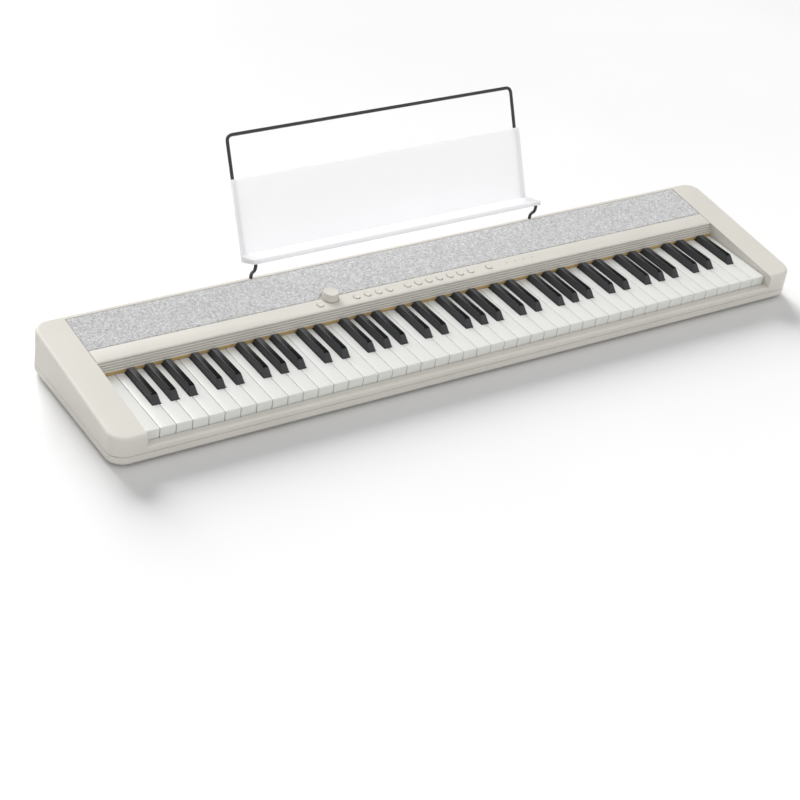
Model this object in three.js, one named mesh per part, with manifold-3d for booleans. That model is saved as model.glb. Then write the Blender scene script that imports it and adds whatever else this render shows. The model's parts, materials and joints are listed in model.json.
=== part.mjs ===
// A slim 76-key digital piano with a lift-off wire music rest.
//
// Frame: millimetres, +X to the player's right, +Y away from the player, +Z up. Every shape below is
// drawn in the keyboard frame: x = 0 at the middle of the keyboard, y = 0 at the front of the white
// keys, z = 0 at their top. The last lines move the whole group so that its origin is under the
// middle of the object, on the surface that it stands on.

import * as THREE from "three";
import * as BufferGeometryUtils from "three/addons/utils/BufferGeometryUtils.js";
import Module from "manifold-3d";

const wasm = await Module();
wasm.setup();

// ---------------------------------------------------------------- driving dimensions (mm)

// keyboard
const WHITE_PITCH = 23.5;
const WHITE_COUNT = 45;
const FIRST_LETTER = 2; // the lowest white key is an E: C is 0, D is 1, E is 2
const SPLIT_ZONE = 3; // the octave whose keys are all separate pieces
const WHITE_GAP = 0.9;
const WHITE_SHOWN = 129.4;
const KEY_LENGTH = 182;
const WHITE_THICK = 10;
const APRON_DEPTH = 19;
const APRON_THICK = 3;
const BLACK_WIDTH = 11.6;
const BLACK_TOP_WIDTH = 8.4;
const BLACK_GAP = 1;
const BLACK_FRONT = 48.5;
const BLACK_BEVEL = 8;
const BLACK_HEIGHT = 11.5;
const BLACK_REAR_HEIGHT = 10.2;
const BLACK_TAIL_TOP = 1;
const BLACK_TAIL_DEPTH = 7;
const KEY_DIP = 10;
const KEY_FRONT_GAP = 1.2; // between the key slip and the white keys' fronts
const BLACK_CAP_GAP = 1.4; // between the black caps' rear ends and the felt
const CAP_END_RUN = 6; // over this the cap's rear end rounds down
const WHITE_BAR_THICK = 5;
const BLACK_BAR_THICK = 3;
const RISER_SINK = 3; // how far the black comb's risers reach under the key tops
const COMB_BAR = 10;

// case
const CHEEK_WIDTH = 47.4;
const SIDE_GAP = 0.6;
const CASE_FRONT = -14.2;
const CASE_REAR = 241.8;
const TOP_RISE = 7.44; // height of the top surface over the key tops, at y = 0
const TOP_SLOPE = 0.094;
const CORNER_RADIUS = 24;
const EDGE_RADIUS = 5;
const WALL = 2.5;
const SLIP_TOP = -13.7;
const SEAM = -21.8;
const SEAM_GAP = 0.6;
const CASE_BOTTOM = -34.8;
const BOTTOM_CHAMFER = 4.5;
const REAR_BORDER = 7.8;
const LEDGE_WIDTH = 5;
const GAP = 0.3; // between pieces that touch
const OVERSHOOT = 1; // how far a cutter or a joined block passes the face it meets

// top trim, from front to rear
const FELT_TOP = 5.6;
const FELT_THICK = 1.5;
const LOUVRE_RUN = 6.6;
const LOUVRE_RIBS = 5;
const RIB_WIDTH = 2;
const GROOVE_WIDTH = 1.5;
const GROOVE_DEPTH = 1.2;
const LOUVRE_THICK = 3.2;
const LOUVRE_LAND = 1.2; // flat edge that meets the control panel
const PANEL_DEPTH = 25;
const PANEL_THICK = 2.5;
const CLOTH_THICK = 1.1;
const BAFFLE_THICK = 2.5;

// controls, with x from the middle of the keyboard
const BUTTON_RADIUS = 4.8;
const BUTTON_FLANGE = 0.9;
const BUTTON_CLEARANCE = 0.45;
const BUTTON_PROUD = 1.2;
const BUTTON_TRAVEL = 1;
const BUTTON_PITCH = 18.45;
const POWER_X = -181;
const FUNCTION_X = -121.2;
const FUNCTION_COUNT = 4;
const TONE_X = -35;
const TONE_COUNT = 7;
const RECORD_X = 108.4;
const KNOB_X = -159.5;
const KNOB_SET = 2.5; // the knob's axis stands this far in front of the panel's rear edge
const KNOB_RADIUS = 11.7;
const KNOB_TOP_RADIUS = 10;
const KNOB_HEIGHT = 11.7;
const KNOB_SHAFT = 3;
const KNOB_CLEARANCE = 0.5;
const LOBE_RADIUS = 14;
const BUTTON_FOOT = 1.2; // thickness of a button's flange
const BUTTON_CHAMFER = 0.4;
const KNOB_CHAMFER = 0.8;
const KNOB_BELT = 0.3; // the straight part of the knob's side, as a share of its height
const SHAFT_END = 3; // how far the knob's shaft reaches under the panel
const SWITCH_HEIGHT = 4;

// inside
const CHASSIS_THICK = 2.5;
const CHASSIS_FRONT = 8;
const HINGE_WALL = 3.5;
const HINGE_CLEARANCE = 2.5;
const STOP_FRONT = 26;
const STOP_DEPTH = 6;
const RAIL_THICK = 3;
const BOARD_FRONT = 74;
const BOARD_DEPTH = 39;
const RAIL_INSET = 4; // from the contact board's edge to the rail under it
const BOARD_END_GAP = 3;
const CHASSIS_END_GAP = 1;
const HINGE_DROP = 1; // from the key tops to the hinge wall's top
const KEY_CUSHION = 1; // the stop stands this much nearer than the dip, as its felt does
const BOARD_THICK = 1.6;
const MAIN_BOARD_WIDTH = 380;
const MAIN_BOARD_DEPTH = 34;
const MAIN_BOARD_INSET = 6;
const ROTARY_GAP = 2; // between the knob's shaft and the main board's hole
const SPEAKER_INSET = 104; // from the cheek's inner wall to the speaker's middle
const SPEAKER_WIDTH = 130;
const SPEAKER_DEPTH = 60;
const SPEAKER_HEIGHT = 32;
const MAGNET_RADIUS = 19;
const MAGNET_GAP = 6;
const FLANGE_THICK = 2;
const FLANGE_WIDTH = 7;
const BASKET_DEPTH = 14;
const DISH_DEPTH = 8;
const DISH_INSET = 10;
const WINDOW_INSET = 8;
const BAY_WIDTH = 160;
const BAY_DEPTH = 30;
const BAY_HEIGHT = 16;
const BAY_INSET = 29.8; // from the rear of the case to the bay's middle
const COVER_GAP = 0.4;
const GRIP_WIDTH = 16;
const GRIP_DEPTH = 4;
const GRIP_INSET = 2;
const GRIP_SINK = 1;
const FOOT_RADIUS = 8;
const FOOT_CHAMFER = 1;
const FOOT_HEIGHT = 4;
const FOOT_SIDE_INSET = 96.75;
const FOOT_FRONT_INSET = 22.2;
const FOOT_REAR_INSET = 19.8;
const SOCKET_X = 300;
const SOCKET_PITCH = 24;
const SOCKET_Z = -6;
const JACK_BORE = 3.3;
const INLET_BORE = 3.1;
const JACK_SIZE = 14;
const JACK_BACK = 2; // the wall at the inner end of a bore
const HOLE_MARGIN = 1; // the rear wall's holes are this much larger in radius than the bores

// music rest, drawn along its own lean: "up" follows the sheet, "out" leaves it toward the player
const REST_LEAN = THREE.MathUtils.degToRad(25);
const REST_BEHIND = 18; // the sheet's lower front corner, behind the case's rear face
const REST_ABOVE = 24.1; // and above its top edge
const SHEET_WIDTH = 498.6;
const SHEET_HEIGHT = 107;
const SHEET_THICK = 3;
const LEDGE_DEPTH = 36.5;
const LEDGE_REAR_THICK = 10.4;
const LEDGE_FRONT_THICK = 6.4;
const CHANNEL_WALL = 2; // outside each of the two channels that the wire lies in, under the ledge
const LIP_HEIGHT = 1.2;
const LIP_WIDTH = 1.6;
const LIP_CHAMFER = 0.5;
const LIP_FOOT = 0.8;
const WIRE_RADIUS = 2.5;
const WIRE_HEIGHT = 168;
const WIRE_BEND = 9;
const WIRE_KNEE_INSET = 14.1;
const WIRE_KNEE_ABOVE = 17.3;
const WIRE_FOOT_INSET = 4.4;
const WIRE_FOOT_STRAIGHT = 7.3;
const WIRE_INSERT = 24;
const SOCKET_CLEARANCE = 0.35;

// ---------------------------------------------------------------- derived dimensions

const KEYBED = WHITE_PITCH * WHITE_COUNT;
const BED_HALF = KEYBED / 2 + SIDE_GAP;
const CASE_HALF = BED_HALF + CHEEK_WIDTH;
const TILT = Math.atan(TOP_SLOPE);
const SLOT = BLACK_WIDTH + 2 * BLACK_GAP;
const SLIP_REAR = -KEY_FRONT_GAP;
const STOP_TOP = -WHITE_THICK - KEY_DIP + KEY_CUSHION;
const LOUVRE_FOOT = WHITE_SHOWN;
const LOUVRE_TOP_Y = LOUVRE_FOOT + LOUVRE_RUN;
const PANEL_FRONT = LOUVRE_TOP_Y + LOUVRE_LAND + GAP;
const PANEL_REAR = PANEL_FRONT + PANEL_DEPTH;
const CLOTH_FRONT = PANEL_REAR + 2 * GAP;
const CLOTH_REAR = CASE_REAR - REAR_BORDER - 2 * GAP;
const OPENING_REAR = CASE_REAR - REAR_BORDER;
const FLOOR = CASE_BOTTOM + WALL;
const WIRE_OUT = -SHEET_THICK - GAP - WIRE_RADIUS;
const WIRE_UNDER = -LEDGE_REAR_THICK + WIRE_RADIUS;
const WIRE_SPAN = SHEET_WIDTH - 2 * (CHANNEL_WALL + GAP + WIRE_RADIUS);
const SOCKET_RADIUS = WIRE_RADIUS + SOCKET_CLEARANCE;
const BUTTON_Y = (PANEL_FRONT + PANEL_REAR) / 2;
const KNOB_Y = PANEL_REAR - KNOB_SET;
const SPEAKER_X = BED_HALF - SPEAKER_INSET;
const BAY_Y = CASE_REAR - BAY_INSET;
const REST_Y = CASE_REAR + REST_BEHIND;
const REST_Z = topZ(CASE_REAR) + REST_ABOVE;
const WIRE_FOOT_Y = CASE_REAR - WIRE_FOOT_INSET;
const WIRE_KNEE_Y = CASE_REAR - WIRE_KNEE_INSET;
const WIRE_KNEE_OUT = (REST_Y + WIRE_UNDER * Math.sin(REST_LEAN) - WIRE_KNEE_Y) / Math.cos(REST_LEAN);
// at the heel the channel is cut back along a slope, out + up = HEEL, so that the wire's bend passes:
// the bend's middle lies a quarter of the bend's reach inside the wire's corner, on each axis
const HEEL = WIRE_OUT + WIRE_UNDER + WIRE_BEND / 2 + Math.SQRT2 * (WIRE_RADIUS + 4 * GAP);

/** Height of the sloping top surface at a distance y behind the key fronts. */
function topZ(y) {
  return TOP_RISE + TOP_SLOPE * y;
}

/** Distance along the sloping top of a point that stands y behind the key fronts. */
function along(y) {
  return y / Math.cos(TILT);
}

// ---------------------------------------------------------------- materials

function finish(color, roughness, metalness = 0) {
  return new THREE.MeshStandardMaterial({ color, roughness, metalness });
}

const FINISH = {
  case: finish(0xdedad1, 0.6),
  ribs: finish(0xd8d3c6, 0.6),
  whiteKey: finish(0xf2f1ec, 0.35),
  blackKey: finish(0x26262a, 0.5),
  cloth: finish(0xc4c5c8, 0.95),
  felt: finish(0xb8964e, 0.95),
  sheet: finish(0xf0f0f1, 0.4),
  wire: finish(0x17171a, 0.4, 0.6),
  rubber: finish(0x2b2b2b, 0.9),
  board: finish(0x2f5a3c, 0.6),
  inner: finish(0x6f6f6d, 0.7),
  speaker: finish(0x303032, 0.7),
  metal: finish(0xa8a9ab, 0.4, 0.9),
};

// ---------------------------------------------------------------- solids

/** A closed geometry as a solid that can be joined and cut. */
function solidOf(geometry) {
  const bare = geometry.clone();
  bare.deleteAttribute("normal");
  bare.deleteAttribute("uv");
  const merged = BufferGeometryUtils.mergeVertices(bare, 1e-4);
  return new wasm.Manifold(
    new wasm.Mesh({
      numProp: 3,
      vertProperties: merged.attributes.position.array,
      triVerts: new Uint32Array(merged.index.array),
    }),
  );
}

/** The geometry of a solid. */
function geometryOf(solid) {
  const mesh = solid.getMesh();
  const geometry = new THREE.BufferGeometry();
  geometry.setAttribute("position", new THREE.BufferAttribute(mesh.vertProperties, 3));
  geometry.setIndex(new THREE.BufferAttribute(mesh.triVerts, 1));
  return geometry;
}

function join(first, ...others) {
  return others.reduce((sum, other) => sum.add(other), first);
}

function cut(first, ...others) {
  return others.reduce((rest, other) => rest.subtract(other), first);
}

/** A box between two values on each axis. */
function block(x0, x1, y0, y1, z0, z1) {
  const geometry = new THREE.BoxGeometry(x1 - x0, y1 - y0, z1 - z0);
  return solidOf(geometry.translate((x0 + x1) / 2, (y0 + y1) / 2, (z0 + z1) / 2));
}

/** An outline in x and y, carried from z0 to z1. */
function risen(shape, z0, z1, curveSegments = 6) {
  const geometry = new THREE.ExtrudeGeometry(shape, { depth: z1 - z0, bevelEnabled: false, curveSegments });
  return solidOf(geometry.translate(0, 0, z0));
}

/** An outline in y and z, carried along x from x0 to x1. */
function sideways(shape, x0, x1, curveSegments = 4) {
  const geometry = new THREE.ExtrudeGeometry(shape, { depth: x1 - x0, bevelEnabled: false, curveSegments });
  const turn = new THREE.Matrix4().makeBasis(
    new THREE.Vector3(0, 1, 0),
    new THREE.Vector3(0, 0, 1),
    new THREE.Vector3(1, 0, 0),
  );
  return solidOf(geometry.applyMatrix4(turn).translate(x0, 0, 0));
}

/** An outline in x and z, carried along y from y0 to y1. */
function rearward(shape, y0, y1) {
  const geometry = new THREE.ExtrudeGeometry(shape, { depth: y1 - y0, bevelEnabled: false });
  const turn = new THREE.Matrix4().makeBasis(
    new THREE.Vector3(1, 0, 0),
    new THREE.Vector3(0, 0, 1),
    new THREE.Vector3(0, -1, 0),
  );
  return solidOf(geometry.applyMatrix4(turn).translate(0, y1, 0));
}

/** A post that stands along z. */
function post(x, y, radius, z0, z1, segments = 20) {
  const geometry = new THREE.CylinderGeometry(radius, radius, z1 - z0, segments);
  return solidOf(geometry.rotateX(Math.PI / 2).translate(x, y, (z0 + z1) / 2));
}

/** A rod that lies along y. */
function rod(x, z, radius, y0, y1, segments = 16) {
  const geometry = new THREE.CylinderGeometry(radius, radius, y1 - y0, segments);
  return solidOf(geometry.translate(x, (y0 + y1) / 2, z));
}

function polygon(points) {
  return new THREE.Shape(points.map(([u, v]) => new THREE.Vector2(u, v)));
}

/** A rectangle with round corners. */
function roundedRectangle(x0, x1, y0, y1, radius) {
  const shape = new THREE.Shape();
  shape.moveTo(x0 + radius, y0);
  shape.lineTo(x1 - radius, y0);
  shape.absarc(x1 - radius, y0 + radius, radius, -Math.PI / 2, 0);
  shape.lineTo(x1, y1 - radius);
  shape.absarc(x1 - radius, y1 - radius, radius, 0, Math.PI / 2);
  shape.lineTo(x0 + radius, y1);
  shape.absarc(x0 + radius, y1 - radius, radius, Math.PI / 2, Math.PI);
  shape.lineTo(x0, y0 + radius);
  shape.absarc(x0 + radius, y0 + radius, radius, Math.PI, 1.5 * Math.PI);
  return shape;
}

/** A round piece turned about z, from its outline of [radius, height] pairs. */
function turned(outline, segments) {
  const points = outline.map(([radius, height]) => new THREE.Vector2(radius, height));
  return new THREE.LatheGeometry(points, segments).rotateX(Math.PI / 2);
}

// ---------------------------------------------------------------- case

/** The outline of the case seen from above, drawn in by an inset. */
function casePlan(inset = 0) {
  const half = CASE_HALF - inset;
  return roundedRectangle(-half, half, CASE_FRONT + inset, CASE_REAR - inset, CORNER_RADIUS - inset);
}

/** The outline of the upper case seen from the side, drawn in by an inset. */
function caseProfile(bottom, inset = 0) {
  const front = CASE_FRONT + inset;
  const rear = CASE_REAR - inset;
  const radius = Math.max(EDGE_RADIUS - inset, 0.5);
  const top = (y) => topZ(y) - inset;
  const shape = new THREE.Shape();
  shape.moveTo(front, bottom);
  shape.lineTo(rear, bottom);
  shape.lineTo(rear, top(rear) - radius);
  shape.quadraticCurveTo(rear, top(rear), rear - radius, top(rear - radius));
  shape.lineTo(front + radius, top(front + radius));
  shape.quadraticCurveTo(front, top(front), front, top(front) - radius);
  return shape;
}

/** A bar along x on the cheeks' inner walls, under the trim, that the control panel and baffle rest on. */
function trimLedges(side) {
  const drop = PANEL_THICK + BAFFLE_THICK + 2 * GAP;
  const top = (y) => topZ(y) - drop;
  const outline = polygon([
    [PANEL_FRONT + LOUVRE_THICK, top(PANEL_FRONT + LOUVRE_THICK) - WALL],
    [OPENING_REAR + OVERSHOOT, top(OPENING_REAR + OVERSHOOT) - WALL],
    [OPENING_REAR + OVERSHOOT, top(OPENING_REAR + OVERSHOOT)],
    [PANEL_FRONT + LOUVRE_THICK, top(PANEL_FRONT + LOUVRE_THICK)],
  ]);
  const inner = BED_HALF - LEDGE_WIDTH;
  const outer = BED_HALF + WALL / 2;
  return side > 0 ? sideways(outline, inner, outer) : sideways(outline, -outer, -inner);
}

/** The upper case: two hollow cheeks, the key slip in front and the border behind, as one moulding. */
function upperCase() {
  const bottom = SEAM + SEAM_GAP / 2;
  const high = topZ(CASE_REAR) + OVERSHOOT;
  const outside = risen(casePlan(), bottom, high).intersect(
    sideways(caseProfile(bottom), -CASE_HALF, CASE_HALF),
  );
  const inside = risen(casePlan(WALL), bottom - OVERSHOOT, high).intersect(
    sideways(caseProfile(bottom - OVERSHOOT, WALL), -CASE_HALF, CASE_HALF),
  );
  const cheekHollow = inside.subtract(
    block(-BED_HALF - WALL, BED_HALF + WALL, CASE_FRONT, CASE_REAR, bottom - OVERSHOOT, high),
  );
  const behindBorder = inside.intersect(
    block(-BED_HALF, BED_HALF, OPENING_REAR - OVERSHOOT, CASE_REAR - WALL, bottom - OVERSHOOT, high),
  );
  const keyboardOpening = block(-BED_HALF, BED_HALF, SLIP_REAR, OPENING_REAR, bottom - OVERSHOOT, high);
  const overSlip = block(-BED_HALF, BED_HALF, CASE_FRONT - OVERSHOOT, SLIP_REAR + OVERSHOOT, SLIP_TOP, high);
  const insideSlip = block(
    -BED_HALF, BED_HALF, CASE_FRONT + WALL, SLIP_REAR - WALL, bottom - OVERSHOOT, SLIP_TOP - WALL,
  );
  let shell = cut(outside, cheekHollow, behindBorder, keyboardOpening, overSlip, insideSlip);
  for (const side of [-1, 1]) {
    shell = join(shell, trimLedges(side), restBoss(side));
    shell = cut(shell, restSocket(side));
  }
  return geometryOf(cut(shell, ...socketHoles()));
}

/** The block behind the border that holds one foot of the music rest. */
function restBoss(side) {
  const x = (side * WIRE_SPAN) / 2;
  const reach = SOCKET_RADIUS + WALL;
  const top = topZ(WIRE_FOOT_Y - reach) - PANEL_THICK - BAFFLE_THICK - 2 * GAP;
  const wall = CASE_REAR - WALL / 2;
  return join(
    block(x - reach, x + reach, WIRE_FOOT_Y - reach, wall, top - WIRE_INSERT, top),
    block(x - reach, x + reach, OPENING_REAR + GAP, wall, top - OVERSHOOT, topZ(OPENING_REAR) - WALL / 2),
  );
}

function restSocket(side) {
  const top = topZ(CASE_REAR) + OVERSHOOT;
  const depth = WIRE_INSERT + GAP;
  return post((side * WIRE_SPAN) / 2, WIRE_FOOT_Y, SOCKET_RADIUS, topZ(WIRE_FOOT_Y) - depth, top, 16);
}

/** The round holes in the rear wall for the phones, pedal and power plugs. */
function socketHoles() {
  const radius = JACK_BORE + HOLE_MARGIN;
  return [-1, 0, 1].map((n) =>
    rod(SOCKET_X + n * SOCKET_PITCH, SOCKET_Z, radius, CASE_REAR - 2 * WALL, CASE_REAR + OVERSHOOT),
  );
}

/** The outline of the lower case in one direction, with its bottom edges cut back. */
function trayProfile(low, high, bottom, top) {
  return polygon([
    [low + BOTTOM_CHAMFER, bottom],
    [high - BOTTOM_CHAMFER, bottom],
    [high, bottom + BOTTOM_CHAMFER],
    [high, top],
    [low, top],
    [low, bottom + BOTTOM_CHAMFER],
  ]);
}

/** The lower case: a shallow tray with the battery bay moulded in its floor. */
function lowerCase() {
  const top = SEAM - SEAM_GAP / 2;
  const body = risen(casePlan(), CASE_BOTTOM, top)
    .intersect(sideways(trayProfile(CASE_FRONT, CASE_REAR, CASE_BOTTOM, top), -CASE_HALF, CASE_HALF))
    .intersect(rearward(trayProfile(-CASE_HALF, CASE_HALF, CASE_BOTTOM, top), CASE_FRONT, CASE_REAR));
  const rim = top + OVERSHOOT;
  const hollow = risen(casePlan(WALL), FLOOR, rim)
    .intersect(sideways(trayProfile(CASE_FRONT + WALL, CASE_REAR - WALL, FLOOR, rim), -CASE_HALF, CASE_HALF))
    .intersect(rearward(trayProfile(-CASE_HALF + WALL, CASE_HALF - WALL, FLOOR, rim), CASE_FRONT, CASE_REAR));
  const half = BAY_WIDTH / 2;
  const bayFront = BAY_Y - BAY_DEPTH / 2;
  const bayRear = BAY_Y + BAY_DEPTH / 2;
  const bayTop = FLOOR + BAY_HEIGHT;
  const bayOut = block(
    -half - WALL, half + WALL, bayFront - WALL, bayRear + WALL, FLOOR - OVERSHOOT, bayTop + WALL,
  );
  const bayIn = block(-half, half, bayFront, bayRear, CASE_BOTTOM - OVERSHOOT, bayTop);
  return geometryOf(cut(join(cut(body, hollow), bayOut), bayIn));
}

/** The lid of the battery bay, flush with the underside. */
function batteryCover() {
  const half = BAY_WIDTH / 2 - COVER_GAP;
  const front = BAY_Y - BAY_DEPTH / 2 + COVER_GAP;
  const rear = BAY_Y + BAY_DEPTH / 2 - COVER_GAP;
  const plate = block(-half, half, front, rear, CASE_BOTTOM, CASE_BOTTOM + WALL - GAP);
  const gripRear = rear - GRIP_INSET;
  const gripHalf = GRIP_WIDTH / 2;
  const sink = CASE_BOTTOM + GRIP_SINK;
  const grip = block(-gripHalf, gripHalf, gripRear - GRIP_DEPTH, gripRear, CASE_BOTTOM - OVERSHOOT, sink);
  return geometryOf(plate.subtract(grip));
}

function foot() {
  const height = FOOT_HEIGHT - GAP;
  const flat = FOOT_RADIUS - FOOT_CHAMFER;
  return turned([[0, 0], [flat, 0], [FOOT_RADIUS, FOOT_CHAMFER], [FOOT_RADIUS, height], [0, height]], 20);
}

// ---------------------------------------------------------------- keys

/** The place of white key i in its octave: C is 0 and B is 6. */
function letterOf(i) {
  return (i + FIRST_LETTER) % 7;
}

function zoneOf(i) {
  return Math.floor((i + FIRST_LETTER) / 7);
}

/** Whether a black key stands at the right-hand edge of white key i. */
function hasBlack(i) {
  return i >= 0 && i < WHITE_COUNT - 1 && letterOf(i) !== 2 && letterOf(i) !== 6;
}

/** The middle of the black key after white key i: the white tails of C to E, and of F to B, are equal. */
function blackX(i) {
  const letter = letterOf(i);
  const low = letter < 3;
  const whites = low ? 3 : 4;
  const place = low ? letter : letter - 3;
  const tail = (whites * WHITE_PITCH - (whites - 1) * SLOT) / whites;
  const start = (i - place) * WHITE_PITCH - KEYBED / 2;
  return start + (place + 1) * tail + (place + 0.5) * SLOT;
}

/** One white key: a slab with its tail narrowed beside the black keys, and an apron in front. */
function whiteKey(i) {
  const left = i * WHITE_PITCH - KEYBED / 2 + WHITE_GAP / 2;
  const right = left + WHITE_PITCH - WHITE_GAP;
  const tailLeft = hasBlack(i - 1) ? blackX(i - 1) + SLOT / 2 : left;
  const tailRight = hasBlack(i) ? blackX(i) - SLOT / 2 : right;
  const shoulder = BLACK_FRONT - BLACK_GAP;
  const points = [[left, 0], [right, 0]];
  if (tailRight !== right) points.push([right, shoulder]);
  if (tailRight !== right) points.push([tailRight, shoulder]);
  points.push([tailRight, KEY_LENGTH], [tailLeft, KEY_LENGTH]);
  if (tailLeft !== left) points.push([tailLeft, shoulder]);
  if (tailLeft !== left) points.push([left, shoulder]);
  const slab = risen(polygon(points), -WHITE_THICK, 0);
  return slab.add(block(left, right, 0, APRON_THICK, -APRON_DEPTH, -OVERSHOOT));
}

/** One black key: a tapered cap with a sloped front and a rounded rear, on a low tail. */
function blackKey(i) {
  const capRear = WHITE_SHOWN - BLACK_CAP_GAP;
  const side = polygon([
    [BLACK_FRONT, -BLACK_TAIL_DEPTH],
    [KEY_LENGTH, -BLACK_TAIL_DEPTH],
    [KEY_LENGTH, -BLACK_TAIL_TOP],
    [capRear, -BLACK_TAIL_TOP],
    [capRear, BLACK_REAR_HEIGHT * 0.45],
    [capRear - CAP_END_RUN / 3, BLACK_REAR_HEIGHT * 0.85],
    [capRear - CAP_END_RUN, BLACK_REAR_HEIGHT],
    [BLACK_FRONT + BLACK_BEVEL, BLACK_HEIGHT],
    [BLACK_FRONT, 0],
  ]);
  const half = BLACK_WIDTH / 2;
  const topHalf = BLACK_TOP_WIDTH / 2;
  const front = polygon([
    [-half, -BLACK_TAIL_DEPTH],
    [half, -BLACK_TAIL_DEPTH],
    [half, 0],
    [topHalf, BLACK_HEIGHT + OVERSHOOT],
    [-topHalf, BLACK_HEIGHT + OVERSHOOT],
    [-half, 0],
  ]);
  const key = sideways(side, -half - OVERSHOOT, half + OVERSHOOT).intersect(
    rearward(front, BLACK_FRONT - OVERSHOOT, KEY_LENGTH + OVERSHOOT),
  );
  return key.translate([blackX(i), 0, 0]);
}

/** The white keys of one octave, joined by their hinge bar, which runs under the black keys' tails. */
function whiteComb(indices) {
  const left = indices[0] * WHITE_PITCH - KEYBED / 2 + WHITE_GAP / 2;
  const right = left + indices.length * WHITE_PITCH - WHITE_GAP;
  const top = -BLACK_TAIL_DEPTH - BLACK_GAP;
  const bar = block(left, right, KEY_LENGTH - COMB_BAR, KEY_LENGTH, top - WHITE_BAR_THICK, top);
  return geometryOf(join(bar, ...indices.map(whiteKey)));
}

/** The black keys of one octave, joined by their hinge bar, which runs over the white keys' tails. */
function blackComb(indices) {
  const left = blackX(indices[0]) - BLACK_WIDTH / 2;
  const right = blackX(indices[indices.length - 1]) + BLACK_WIDTH / 2;
  const rear = KEY_LENGTH;
  const front = rear - COMB_BAR;
  const bar = block(left, right, front, rear, BLACK_GAP, BLACK_GAP + BLACK_BAR_THICK);
  const half = BLACK_WIDTH / 2;
  const risers = indices.map((i) =>
    block(blackX(i) - half, blackX(i) + half, front, rear, -RISER_SINK, BLACK_GAP + OVERSHOOT),
  );
  return geometryOf(join(bar, ...risers, ...indices.map(blackKey)));
}

/** The frame under the keys: a plate with a front stop rail, contact rails and a rear hinge wall. */
function keyChassis() {
  const half = KEYBED / 2 - CHASSIS_END_GAP;
  const base = FLOOR + GAP;
  const hingeFront = KEY_LENGTH + HINGE_CLEARANCE;
  const hingeRear = hingeFront + HINGE_WALL;
  const plate = block(-half, half, CHASSIS_FRONT, hingeRear, base, base + CHASSIS_THICK);
  const stop = block(-half, half, STOP_FRONT, STOP_FRONT + STOP_DEPTH, base, STOP_TOP);
  const railFronts = [BOARD_FRONT + RAIL_INSET, BOARD_FRONT + BOARD_DEPTH - RAIL_INSET - RAIL_THICK];
  const railTop = STOP_TOP - BOARD_THICK - GAP;
  const contactRails = railFronts.map((y) => block(-half, half, y, y + RAIL_THICK, base, railTop));
  const hinge = block(-half, half, hingeFront, hingeRear, base, -HINGE_DROP);
  return geometryOf(join(plate, stop, ...contactRails, hinge));
}

function contactBoard() {
  const half = KEYBED / 2 - CHASSIS_END_GAP - BOARD_END_GAP;
  const rear = BOARD_FRONT + BOARD_DEPTH;
  return geometryOf(block(-half, half, BOARD_FRONT, rear, STOP_TOP - BOARD_THICK, STOP_TOP));
}

// ---------------------------------------------------------------- trim

function feltStrip() {
  const half = BED_HALF - GAP;
  return geometryOf(block(-half, half, WHITE_SHOWN, WHITE_SHOWN + FELT_THICK, 2 * GAP, FELT_TOP - GAP));
}

/** The ribbed strip between the felt and the control panel, with a flange behind the felt. */
function louvreStrip() {
  const foot = new THREE.Vector2(LOUVRE_FOOT, FELT_TOP);
  const head = new THREE.Vector2(LOUVRE_TOP_Y, topZ(LOUVRE_TOP_Y));
  const rise = head.clone().sub(foot);
  const length = rise.length();
  const up = rise.divideScalar(length);
  const inward = new THREE.Vector2(up.y, -up.x);
  const at = (s, depth) => {
    const p = foot.clone().addScaledVector(up, s).addScaledVector(inward, depth);
    return [p.x, p.y];
  };
  const step = (length - RIB_WIDTH) / (LOUVRE_RIBS - 1);
  const face = [];
  for (let rib = 0; rib < LOUVRE_RIBS; rib += 1) {
    const start = rib * step;
    face.push(at(start, 0), at(start + RIB_WIDTH, 0));
    if (rib < LOUVRE_RIBS - 1) {
      face.push(at(start + RIB_WIDTH, GROOVE_DEPTH), at(start + RIB_WIDTH + GROOVE_WIDTH, GROOVE_DEPTH));
    }
  }
  const behindFelt = WHITE_SHOWN + FELT_THICK + GAP;
  const landRear = LOUVRE_TOP_Y + LOUVRE_LAND;
  const underPanel = topZ(LOUVRE_TOP_Y) - PANEL_THICK - 2 * GAP;
  const outline = [
    ...face,
    [landRear, topZ(landRear)],
    [landRear, underPanel],
    [landRear + LOUVRE_THICK, underPanel],
    [behindFelt + LOUVRE_THICK, FELT_TOP],
    [behindFelt + LOUVRE_THICK, 2 * GAP],
    [behindFelt, 2 * GAP],
    [behindFelt, FELT_TOP],
  ];
  const half = BED_HALF - GAP;
  return geometryOf(sideways(polygon(outline.reverse()), -half, half));
}

/** The x of every push button, with its name. */
function buttonPlaces() {
  const row = (name, x, count) =>
    Array.from({ length: count }, (_, n) => ({ name: `${name}_${n + 1}`, x: x + n * BUTTON_PITCH }));
  return [
    { name: "power_button", x: POWER_X },
    ...row("function_button", FUNCTION_X, FUNCTION_COUNT),
    ...row("tone_button", TONE_X, TONE_COUNT),
    { name: "record_button", x: RECORD_X },
  ];
}

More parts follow.
